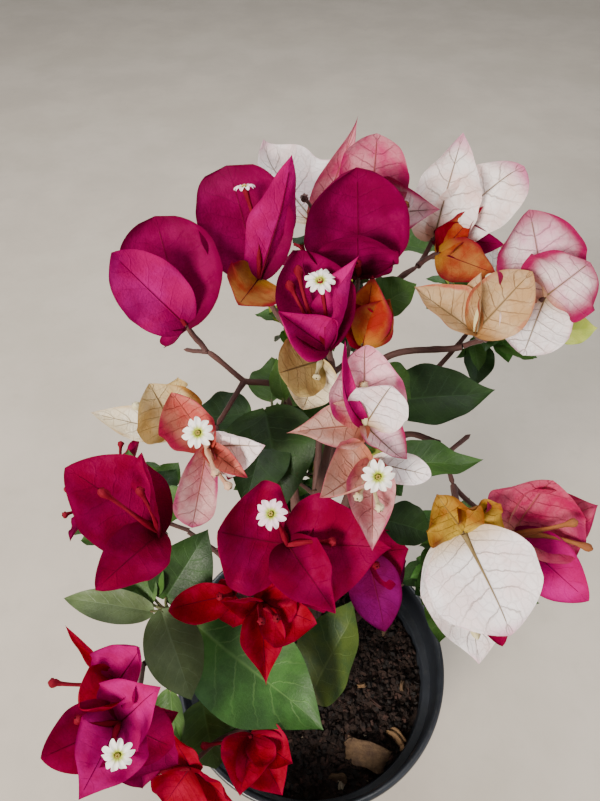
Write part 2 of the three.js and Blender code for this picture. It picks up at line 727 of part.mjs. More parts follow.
const plans = {};
for (const [name, spray] of Object.entries({ ...sprays, ...masses })) {
  const start = routes[spray.bough].getPointAt(spray.at || 1);
  const plan = spray.centre ? growMass(spray, start) : growSpray(spray);
  const twigs = makeTwigs(plan, start, 0);
  const knobs = [plan.fork.toArray(), ...plan.heads.map((head) => head.at)].map(knobSolid);
  const stems = cutClear(joined([...twigs.map((twig) => twig.solid), ...knobs]), guards);
  const guard = joined(makeTwigs(plan, start, clear).map((twig) => twig.solid));
  plans[name] = { ...plan, spray, twigs, guard, body: mainBody(stems) };
}
const names = Object.keys(plans);
names.forEach((name, i) => {
  const earlier = names.slice(0, i).map((other) => plans[other].guard);
  plans[name].body = mainBody(cutClear(plans[name].body, earlier));
});

// Then the blades, each only where it is clear of every other solid: set smaller, or left out.

function isFree(name, solid) {
  const others = names.filter((other) => other !== name).map((other) => plans[other].body);
  return ![pot, mix, ...Object.values(wood), ...others].some((other) => touches(solid, other));
}

function fittedBlade(name, blade, shares) {
  for (const share of shares) {
    const trial = { ...blade, long: blade.long * share, wide: blade.wide * share };
    if (!inSpace(plans[name].spray, trial)) continue;
    if (isFree(name, bladeSolid(trial, clear))) return bladeSolid(trial);
  }
  return null;
}

function addWhorl(name, head) {
  const plan = plans[name];
  head.bracts.forEach((bract, i) => {
    const blade = fittedBlade(name, bractBlade(head, bract), [1, 0.9, 0.8, 0.7, 0.6]);
    if (blade) plan.body = plan.body.add(blade);
    if (head.flowers[i] === "-") return;
    const flower = flowerSolid(head, bract, head.flowers[i]);
    if (isFree(name, flower)) plan.body = plan.body.add(flower);
  });
}

function addLeaf(name, leaf) {
  const plan = plans[name];
  const foot = nearest(plan.twigs, point(leaf));
  const blade = fittedBlade(name, leafBlade(leaf, foot, true), [1, 0.88, 0.76]);
  if (blade) plan.body = plan.body.add(blade);
}

// A small leaf is also left out where it would cut through its own mass.
function addSmallLeaf(name, leaf) {
  const plan = plans[name];
  const foot = nearest(plan.twigs, point(leaf));
  const blade = fittedBlade(name, leafBlade(leaf, foot, false), [1, 0.8]);
  if (blade && plan.body.intersect(blade).volume() < rootShare) plan.body = plan.body.add(blade);
}

for (const name of names) {
  plans[name].heads.forEach((head) => addWhorl(name, head));
  plans[name].leaves.forEach((leaf) => addLeaf(name, leaf));
}
for (const name of names) plans[name].small.forEach((leaf) => addSmallLeaf(name, leaf));

// Materials

const potPlastic = new THREE.MeshStandardMaterial({ color: "#26282b", roughness: 0.5, metalness: 0 });
const darkMix = new THREE.MeshStandardMaterial({ color: "#2b1d15", roughness: 0.95, metalness: 0 });
const bark = new THREE.MeshStandardMaterial({ color: "#6b4a38", roughness: 0.85, metalness: 0 });
const leafGreen = "#3d6a34";
const sprayColours = {
  spray_upper_left: "#b0125a",
  spray_middle_left: "#d98a70",
  spray_top_left: "#a80f52",
  spray_top_middle: "#9a0a4a",
  spray_high_centre: "#b0125a",
  spray_top_back: "#e39aa6",
  spray_top_right: "#e3c2c0",
  spray_far_right: "#d8ae86",
  spray_centre: "#e7a596",
  spray_front: "#b00a4e",
  spray_red: "#b3122e",
  spray_under: "#8f1257",
  spray_left: "#a80f52",
  spray_lower_left: "#b0125a",
  spray_low_front: "#b3122e",
  spray_right: "#e6d2d0",
};

const group = new THREE.Group();

function addMesh(name, solid, material) {
  const mesh = new THREE.Mesh(geometryOf(solid), material);
  mesh.name = name;
  group.add(mesh);
}

addMesh("pot", pot, potPlastic);
addMesh("potting_mix", mix, darkMix);
for (const [name, solid] of Object.entries(wood)) addMesh(name, solid, bark);
for (const name of names) {
  const color = sprayColours[name] || leafGreen;
  const foliage = new THREE.MeshStandardMaterial({ color, roughness: 0.6, metalness: 0 });
  addMesh(name, mainBody(plans[name].body), foliage);
}

export default group;
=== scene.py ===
# The looks of a young potted bougainvillea: papery bracts, small flowers, leaves, twigs, bark, potting
# mix and pot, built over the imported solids. Sizes inside are in millimetres, and pieces are in metres.
import json
import math
import random

import bpy
import numpy as np
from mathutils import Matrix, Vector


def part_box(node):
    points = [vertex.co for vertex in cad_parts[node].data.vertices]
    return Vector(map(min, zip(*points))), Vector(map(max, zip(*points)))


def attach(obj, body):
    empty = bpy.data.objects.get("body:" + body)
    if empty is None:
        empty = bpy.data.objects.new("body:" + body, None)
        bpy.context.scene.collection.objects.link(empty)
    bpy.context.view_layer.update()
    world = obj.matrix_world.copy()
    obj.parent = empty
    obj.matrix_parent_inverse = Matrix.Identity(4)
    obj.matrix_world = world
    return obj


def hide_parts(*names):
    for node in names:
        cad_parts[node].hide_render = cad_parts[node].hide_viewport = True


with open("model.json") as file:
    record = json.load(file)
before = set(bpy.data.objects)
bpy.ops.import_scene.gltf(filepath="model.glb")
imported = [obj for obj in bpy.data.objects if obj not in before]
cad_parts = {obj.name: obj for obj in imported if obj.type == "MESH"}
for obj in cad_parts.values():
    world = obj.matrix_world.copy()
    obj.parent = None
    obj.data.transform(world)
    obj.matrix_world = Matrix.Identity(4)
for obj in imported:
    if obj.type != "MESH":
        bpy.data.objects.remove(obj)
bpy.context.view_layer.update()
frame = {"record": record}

mm = 0.001
trunkGap = 0.3  # the trunk stands this far above the mix
goldenAngle = 137.5  # from one leaf of a twig to the next, in degrees
sunward = np.array([0, -0.65, 0.75])  # open flowers turn this way
anyPhase = 6.28  # top of a random phase, in radians
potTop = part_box("pot")[1].z / mm
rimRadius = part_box("pot")[1].x / mm
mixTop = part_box("trunk")[0].z / mm - trunkGap


# Small tools for places and curves

def unit(way):
    return way / np.linalg.norm(way)


def aim(heading, height):
    turn, rise = math.radians(heading), math.radians(height)
    flat = math.cos(rise)
    return np.array([math.cos(turn) * flat, math.sin(turn) * flat, math.sin(rise)])


def around(corners):
    return np.arange(corners) * 2 * np.pi / corners


def headingOf(way):
    return math.degrees(math.atan2(way[1], way[0]))


def heightOf(way):
    return math.degrees(math.asin(max(-1, min(1, way[2]))))


# A way that leans from an axis at a turn round it, with the face and side of a blade that lies along it
def leaning(axis, turn, opening):
    level = unit(np.cross([0, 0, 1], axis))
    steep = np.cross(axis, level)
    turned, opened = math.radians(turn), math.radians(opening)
    out = level * math.cos(turned) + steep * math.sin(turned)
    along = axis * math.cos(opened) + out * math.sin(opened)
    face = axis * math.sin(opened) - out * math.cos(opened)
    return along, face, np.cross(axis, out)


def leafFrame(heading, height, roll):
    along = aim(heading, height)
    level = unit(np.cross([0, 0, 1], along))
    rolled = math.radians(roll)
    face = np.cross(along, level) * math.cos(rolled) + level * math.sin(rolled)
    return along, face, -np.cross(along, face)


# The same run of numbers as the solids were grown with
def seeded(seed):
    state = seed
    while True:
        state = (state * 1664525 + 1013904223) % 4294967296
        yield state / 4294967296


# A centripetal curve through points, as a fine run of places
def smoothCurve(points, steps=24):
    points = [np.array(p, float) for p in points]
    ends = [2 * points[0] - points[1], *points, 2 * points[-1] - points[-2]]
    places = []
    for a, b, c, d in zip(ends, ends[1:], ends[2:], ends[3:]):
        gaps = [max(np.sum((q - p) ** 2) ** 0.25, 1e-4) for p, q in ((a, b), (b, c), (c, d))]
        first = (b - a) / gaps[0] - (c - a) / (gaps[0] + gaps[1]) + (c - b) / gaps[1]
        last = (c - b) / gaps[1] - (d - b) / (gaps[1] + gaps[2]) + (d - c) / gaps[2]
        first, last = first * gaps[1], last * gaps[1]
        for t in np.arange(steps) / steps:
            cubic = 2 * b - 2 * c + first + last
            square = -3 * b + 3 * c - 2 * first - last
            places.append(b + t * first + t * t * square + t ** 3 * cubic)
    return np.array([*places, points[-1]])


def resampled(path, count):
    lengths = np.concatenate([[0], np.cumsum(np.linalg.norm(np.diff(path, axis=0), axis=1))])
    at = np.linspace(0, lengths[-1], count)
    return np.stack([np.interp(at, lengths, path[:, k]) for k in range(3)], -1)


def placeOn(path, share, fine=400):
    return resampled(path, fine + 1)[round(fine * share)]


# A twig's bow from one place to another that it reaches along the way arrive. turnsAt is where it bends,
# and pull how far it swings out, both as shares of its length
def bow(start, end, arrive=None, count=17, turnsAt=0.6, pull=0.35):
    start, end = np.array(start, float), np.array(end, float)
    middle = start + (end - start) * turnsAt
    if arrive is not None:
        middle = middle - arrive * pull * np.linalg.norm(end - start)
    t = np.linspace(0, 1, count)[:, None]
    return start * (1 - t) ** 2 + middle * 2 * t * (1 - t) + end * t * t


# A piece is gathered as sheets of quads. Each sheet is a grid of places, open or closed round. spot maps
# its pattern in millimetres, and fields hold along, across and phase, which the veins of a blade need

def newBatch():
    return {"points": [], "faces": [], "slots": [], "spots": [], "cells": [], "count": 0, "fields": []}


def addSheet(batch, points, slot, spot, closed=False, fields=None):
    rows, columns = points.shape[:2]
    spans = columns if closed else columns - 1
    i, j = np.meshgrid(np.arange(rows - 1), np.arange(spans), indexing="ij")
    corners = [(i, j), (i + 1, j), (i + 1, j + 1), (i, j + 1)]
    faces = np.stack([a * columns + b % columns for a, b in corners], -1).reshape(-1, 4)
    shares = np.stack([np.stack([a / (rows - 1), b / spans], -1) for a, b in corners], -2)
    shares = shares.reshape(-1, 4, 2)
    if fields is None:
        fields = np.zeros((rows, columns, 3))
        fields[..., 0] = np.linspace(0, 1, rows)[:, None]
    batch["points"].append(points.reshape(-1, 3))
    batch["faces"].append(faces + batch["count"])
    batch["slots"].append(np.full(len(faces), slotOf(batch, slot)))
    batch["spots"].append(spot(shares) if callable(spot) else shares * spot)
    batch["cells"].append(shares)
    batch["fields"].append(fields.reshape(-1, 3))
    batch["count"] += rows * columns


def slotOf(batch, name):
    names = batch.setdefault("names", [])
    if name not in names:
        names.append(name)
    return names.index(name)


def linked(name, data):
    item = bpy.data.objects.new(name, data)
    bpy.context.scene.collection.objects.link(item)
    return item


# Joins a batch to one mesh. Its bake map has a cell for each sheet, with a free border round it
def makePiece(name, batch, slot, nodes=(), baked=True, border=0.03):
    mesh = bpy.data.meshes.new(name)
    faces = np.concatenate(batch["faces"])
    mesh.from_pydata((np.concatenate(batch["points"]) * mm).tolist(), [], faces.tolist())
    mesh.polygons.foreach_set("material_index", np.concatenate(batch["slots"]).astype(np.int32))
    mesh.polygons.foreach_set("use_smooth", np.ones(len(faces), bool))
    spots = mesh.uv_layers.new(name="spots")
    spots.data.foreach_set("uv", np.concatenate(batch["spots"]).ravel())
    if baked:
        across = math.ceil(math.sqrt(len(batch["cells"])))
        cells = [
            (shares * (1 - 2 * border) + border + [k % across, k // across]) / across
            for k, shares in enumerate(batch["cells"])
        ]
        mesh.uv_layers.new(name="OFBake").data.foreach_set("uv", np.concatenate(cells).ravel())
    fields = np.concatenate(batch["fields"])
    for k, field in enumerate(("along", "across", "phase")):
        mesh.attributes.new(field, "FLOAT", "POINT").data.foreach_set("value", fields[:, k].copy())
    for material in batch["names"]:
        mesh.materials.append(finishes[material])
    mesh.update()
    piece = linked(name, mesh)
    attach(piece, "root")
    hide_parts(*nodes)
    return piece


# A tube round a path. relief gives a share of the radius for each ring and corner
def sweepTube(path, radii, sides, relief=None):
    ways = np.gradient(path, axis=0)
    ways = ways / np.linalg.norm(ways, axis=1)[:, None]
    first = np.array([0, 0, 1.0]) if abs(ways[0][2]) < 0.9 else np.array([1.0, 0, 0])
    turns = around(sides)
    rings = []
    for i, way in enumerate(ways):
        first = unit(first - way * np.dot(first, way))
        second = np.cross(first, way)
        reach = radii[i] * (np.ones(sides) if relief is None else relief[i])
        ring = np.outer(np.cos(turns) * reach, first) + np.outer(np.sin(turns) * reach, second)
        rings.append(path[i] + ring)
    return np.array(rings)


def addTube(batch, path, radii, slot, spot, sides=6, relief=None):
    addSheet(batch, sweepTube(path, radii, sides, relief), slot, spot, closed=True)


# Slow waves that make a blade or a stem uneven, without a repeat that shows
def waves(rng, *places, count=4, size=1.0):
    total = 0
    for k in range(count):
        phase = rng.uniform(0, anyPhase)
        total = total + np.sin(sum(rng.uniform(-1, 1) * (2 + 2 * k) * p for p in places) + phase) / (k + 1)
    return total * size / 2


# Blades: bracts and leaves are one kind of sheet, cut to an outline, bent, folded and ruffled

# What a blade has where nothing else is told. Angles are in degrees, and lengths are shares of its length
# or width, but quilt, how far the panels between veins swell, and ribRoot, the midrib's radius, are in
# millimetres. blunt goes from 0 for a drawn-out tip to 1.6 for a round one
bractShape = {
    "sharp": 1.1, "blunt": 0, "heart": 0.05, "roll": 0, "fold": 0, "sway": 0, "ruffle": 0.045, "ruffles": 2.3,
    "ragged": 0.02, "uneven": 0.025, "veins": 6, "quilt": 0.35, "ribRoot": 0.5, "inward": 1,
}
leafShape = {
    "sharp": 1.15, "heart": 0.02, "bend": -22, "cup": 24, "fold": 0.12, "ruffle": 0.03, "ruffles": 2.8,
    "ragged": 0.012, "uneven": 0.02, "veins": 7, "quilt": 0.3,
}


# Half width along a blade, as a share
def outline(u, sharp, blunt, widest):
    rising = np.sqrt(np.clip(1 - ((widest - u) / widest) ** 2, 0, 1))
    t = np.clip((u - widest) / (1 - widest), 0, 1)
    falling = (1 - t ** (1.9 + 0.5 * blunt)) ** (sharp - 0.5 * blunt)
    return np.where(u < widest, rising, falling)


# Builds a blade flat, as shares u along it and v across it, then bends it along and cups it across
def bladeSheet(blade, rows, columns, rng):
    long, wide, blunt = blade["long"], blade["wide"], blade["blunt"]
    flat = 0.01  # stands for no bend at all
    t = np.linspace(0, 1, rows + 1)[:, None]
    u = 0.5 * t + 0.25 * (1 - np.cos(np.pi * t))
    v = np.linspace(-1, 1, columns + 1)[None, :]
    rim = np.abs(v)

    shape = outline(u, blade["sharp"], blunt, blade.get("widest", 0.4 + 0.08 * blunt))
    footHalf, tipHalf = 0.5, 0.06
    half = np.maximum(wide / 2 * shape, footHalf * (1 - u) + tipHalf)
    rolled = math.radians(blade["roll"])
    face = blade["face"] * math.cos(rolled) + blade["side"] * math.sin(rolled)
    sideways = blade["side"] * math.cos(rolled) - blade["face"] * math.sin(rolled)
    ragged = waves(rng, u * 9, v, count=3, size=blade["ragged"])
    half = half * (1 + rng.uniform(-0.06, 0.06) * v + ragged * rim ** 2)

    bend = math.radians(blade["bend"]) or flat
    cup = math.radians(blade["cup"]) or flat
    turn = -bend / 2 + bend * u
    heart = blade["heart"] * rim ** 2 * np.exp(-u / 0.14)
    ahead = long * (np.sin(turn) + math.sin(bend / 2)) / bend - long * heart
    rise = long * (math.cos(bend / 2) - np.cos(turn)) / bend
    across = half * np.sin(cup * v) / cup
    lift = half * (1 - np.cos(cup * v)) / cup
    lift = lift + blade["fold"] * half * (np.sqrt(v * v + 0.01) - 0.1)

    phase = blade["veins"] * u ** 0.9 - 1.7 * rim * (1 - 0.25 * u)  # a vein wherever this is whole
    side = np.where(v > 0, rng.uniform(0, 6), rng.uniform(0, 6))
    ruffle = np.sin(2 * np.pi * blade["ruffles"] * u + side) * rim ** 2.2 * np.sin(np.pi * u) ** 0.6
    lift = lift + wide * blade["ruffle"] * ruffle
    quilt = np.abs(np.sin(np.pi * phase)) * rim ** 0.5 * (1 - rim ** 4) * (1 - u ** 4)
    lift = lift + blade["quilt"] * quilt * np.minimum(half / 8, 1)
    lift = lift - 0.4 * np.exp(-((v * half / 0.8) ** 2)) * (1 - u) * np.minimum(half, 1)
    lift = lift + waves(rng, u * 2, v, size=blade["uneven"] * long) * np.sin(np.pi * u)
    curl = blade.get("tip", rng.uniform(-0.12, 0.16))
    lift = lift + curl * long * np.clip(u - 0.68, 0, 1) ** 2 / 0.1
    twist = math.radians(blade.get("twist", rng.uniform(-10, 10))) * u
    leaned = across * np.cos(twist) - lift * np.sin(twist)
    lift = across * np.sin(twist) + lift * np.cos(twist)
    across = leaned + blade["sway"] * long * u ** 2

    normal = np.cos(turn)[..., None] * face - np.sin(turn)[..., None] * blade["along"]
    points = blade["root"] + ahead[..., None] * blade["along"] + rise[..., None] * face
    points = points + across[..., None] * sideways + lift[..., None] * normal
    fields = np.stack([u + 0 * v, rim + 0 * u, phase], -1)
    shift = np.array([rng.uniform(0, 400), rng.uniform(0, 400)])  # no two blades have the same patches

    def spot(shares):
        i = np.rint(shares[..., 0] * rows).astype(int)
        j = np.rint(shares[..., 1] * columns).astype(int)
        return np.stack([u[i, 0] * long, v[0, j] * half[i, j]], -1) + shift

    return points, spot, fields


# rib adds the raised midrib, which stands out of the back of the blade, or of its face for inward -1
def addBlade(batch, blade, rng, rows=30, columns=22, rib=None):
    blade = {**bractShape, **blade}
    points, spot, fields = bladeSheet(blade, rows, columns, rng)
    addSheet(batch, points, blade["slot"], spot, fields=fields)
    if rib:
        ribTip, reach = 0.12, 0.86
        middle = points[: round(rows * reach), columns // 2]
        across = points[: len(middle), columns // 2 + 1] - points[: len(middle), columns // 2 - 1]
        back = np.cross(across, np.gradient(middle, axis=0))
        back = back / np.linalg.norm(back, axis=1)[:, None]
        thick = ribTip + (blade["ribRoot"] - ribTip) * np.linspace(1, 0, len(middle)) ** 2.2
        path = middle + back * thick[:, None] * 0.45 * blade["inward"]
        addTube(batch, path, thick, rib, (blade["long"], 3))


# Wood: tapering tubes with a relief of furrows, nodes and small thorns
ringGap = 1.6  # between two rings of a limb


def barkRelief(rng, rings, sides, depth, knots):
    turn = around(sides)[None, :]
    run = np.linspace(0, 1, rings)[:, None] * rings / 9
    furrows = sum(
        rng.uniform(0.4, 1) * np.sin(k * turn + rng.uniform(0, 6) + waves(rng, run, size=1.4))
        for k in (3, 5, 7, 11)
    )
    relief = 1 + depth * furrows / 2 + depth * waves(rng, run * 3, turn, size=0.8)
    for _ in range(knots):
        centre, spot = rng.uniform(0, rings / 9), rng.uniform(0, anyPhase)
        away = (1 - np.cos(turn - spot)) * 3 + ((run - centre) / 0.16) ** 2
        relief = relief + 0.26 * np.exp(-away) + 0.07 * np.exp(-(((run - centre) / 0.1) ** 2))
    return relief


def addWood(batch, path, radii, slot, rng, sides=14, depth=0.05, knots=2):
    rings = max(8, round(np.linalg.norm(np.diff(path, axis=0), axis=1).sum() / ringGap))
    path = resampled(path, rings)
    radii = np.interp(np.linspace(0, 1, rings), np.linspace(0, 1, len(radii)), radii)
    path = path + np.stack([waves(rng, np.linspace(0, 3, rings), size=0.3)] * 3, -1)
    girth = 2 * math.pi * radii.mean()
    relief = barkRelief(rng, rings, sides, depth, knots)
    addTube(batch, path, radii, slot, (rings * ringGap, girth), sides, relief)


def addThorn(batch, at, way, long, slot, thick=0.62, tip=0.05):
    path = bow(at, at + way * long, unit(way + np.array([0, 0, -0.5])), 7)
    addTube(batch, path, np.linspace(thick, tip, 7), slot, (long, 3))


# The woody frame, as the solids have it

trunk = {"foot": 5.6, "taper": 1.4, "flare": 3.9, "flareFall": 14, "sides": 40, "depth": 0.07, "knots": 9}
limb = {"sides": 18, "depth": 0.05, "knots": 6, "thorns": (0.3, 0.55, 0.8)}
trunkRoute = smoothCurve([
    (0, 0, mixTop + trunkGap), (2, 3, mixTop + 24), (-2, 7, mixTop + 50), (-3, 10, mixTop + 76),
])
# Boughs: where each leaves the trunk, as a share of its length, radius at its root and tip, and its way
boughs = {
    "bough_upper_left": (0.98, 2.9, 1.5, [(-8, 32, 212), (-12, 50, 248), (-25, 45, 258)]),
    "bough_top": (0.97, 2.9, 1.7, [(2, 26, 208), (9, 44, 252)]),
    "bough_top_back": (0.88, 3, 1.6, [(6, 44, 200), (18, 68, 246), (27, 76, 276)]),
    "bough_far_right": (0.8, 3, 1.5, [(16, 34, 205), (25, 57, 256), (52, 51, 269)]),
    "bough_centre": (0.93, 2.6, 1.6, [(7, 5, 196), (14, 10, 234)]),
    "bough_right": (0.66, 2.8, 1.5, [(20, 24, 190), (36, 46, 225), (48, 37, 232)]),
    "bough_left": (0.72, 2.7, 1.6, [(-24, 6, 172), (-46, -6, 189)]),
    "bough_front_high": (0.62, 2.4, 1.5, [(-6, -6, 164), (-20, -10, 188)]),
    "bough_front_low": (0.34, 2.4, 1.5, [(-8, -16, 132), (-24, -36, 144)]),
    "bough_front_left": (0.48, 2.7, 1.5, [(-40, 2, 148), (-65, -25, 174)]),
    "bough_back": (0.76, 2.9, 1.6, [(2, 46, 184), (6, 82, 218)]),
    "bough_back_right": (0.5, 2.8, 1.5, [(16, 44, 156), (40, 78, 198), (66, 96, 228)]),
    "bough_back_left": (0.56, 2.5, 1.5, [(-24, 20, 150), (-56, 36, 168)]),
    "bough_right_low": (0.3, 2.5, 1.5, [(26, 14, 130), (54, 26, 156)]),
}
routes = {
    name: smoothCurve([placeOn(trunkRoute, leaves), *through])
    for name, (leaves, root, tip, through) in boughs.items()
}


def makeLimbs():
    rng = random.Random(5)
    batch = newBatch()
    t = np.linspace(0, 1, 60)
    radii = trunk["foot"] - trunk["taper"] * t + trunk["flare"] * np.exp(-t * trunk["flareFall"])
    relief = {key: trunk[key] for key in ("sides", "depth", "knots")}
    addWood(batch, trunkRoute, [*radii, 3.4, 0.3], "oldBark", rng, **relief)
    for name, (leaves, root, tip, through) in boughs.items():
        slender = 0.75 * tip + (root - 0.75 * tip) * (1 - np.linspace(0, 1, 30)) ** 1.4
        relief = {key: limb[key] for key in ("sides", "depth", "knots")}
        addWood(batch, routes[name], [*slender, 1.1], "youngBark", rng, **relief)
        for share in limb["thorns"]:
            way = unit(aim(rng.uniform(0, 360), 25))
            addThorn(batch, placeOn(routes[name], share) + way * 1.6, way, rng.uniform(3, 5), "thorn")
    makePiece("limbs", batch, "bark", ["trunk", *boughs])


# Whorls grow where the solids have them: place, lean, bend and cup, then the flowers with their kind,
# heading, height and length, and a finish where it isn't that of the bracts. Kinds are o open, p open and
# pink, s small and pink, b a bud and d dried. Then come the bracts with turn, opening, length, width and
# tint, and what sets the shape of each one apart from bractShape
def whorl(at, lean, bend, cup, flowers, bracts):
    return {"at": np.array(at, float), "lean": lean, "bend": bend, "cup": cup, "flowers": flowers,
            "bracts": bracts}


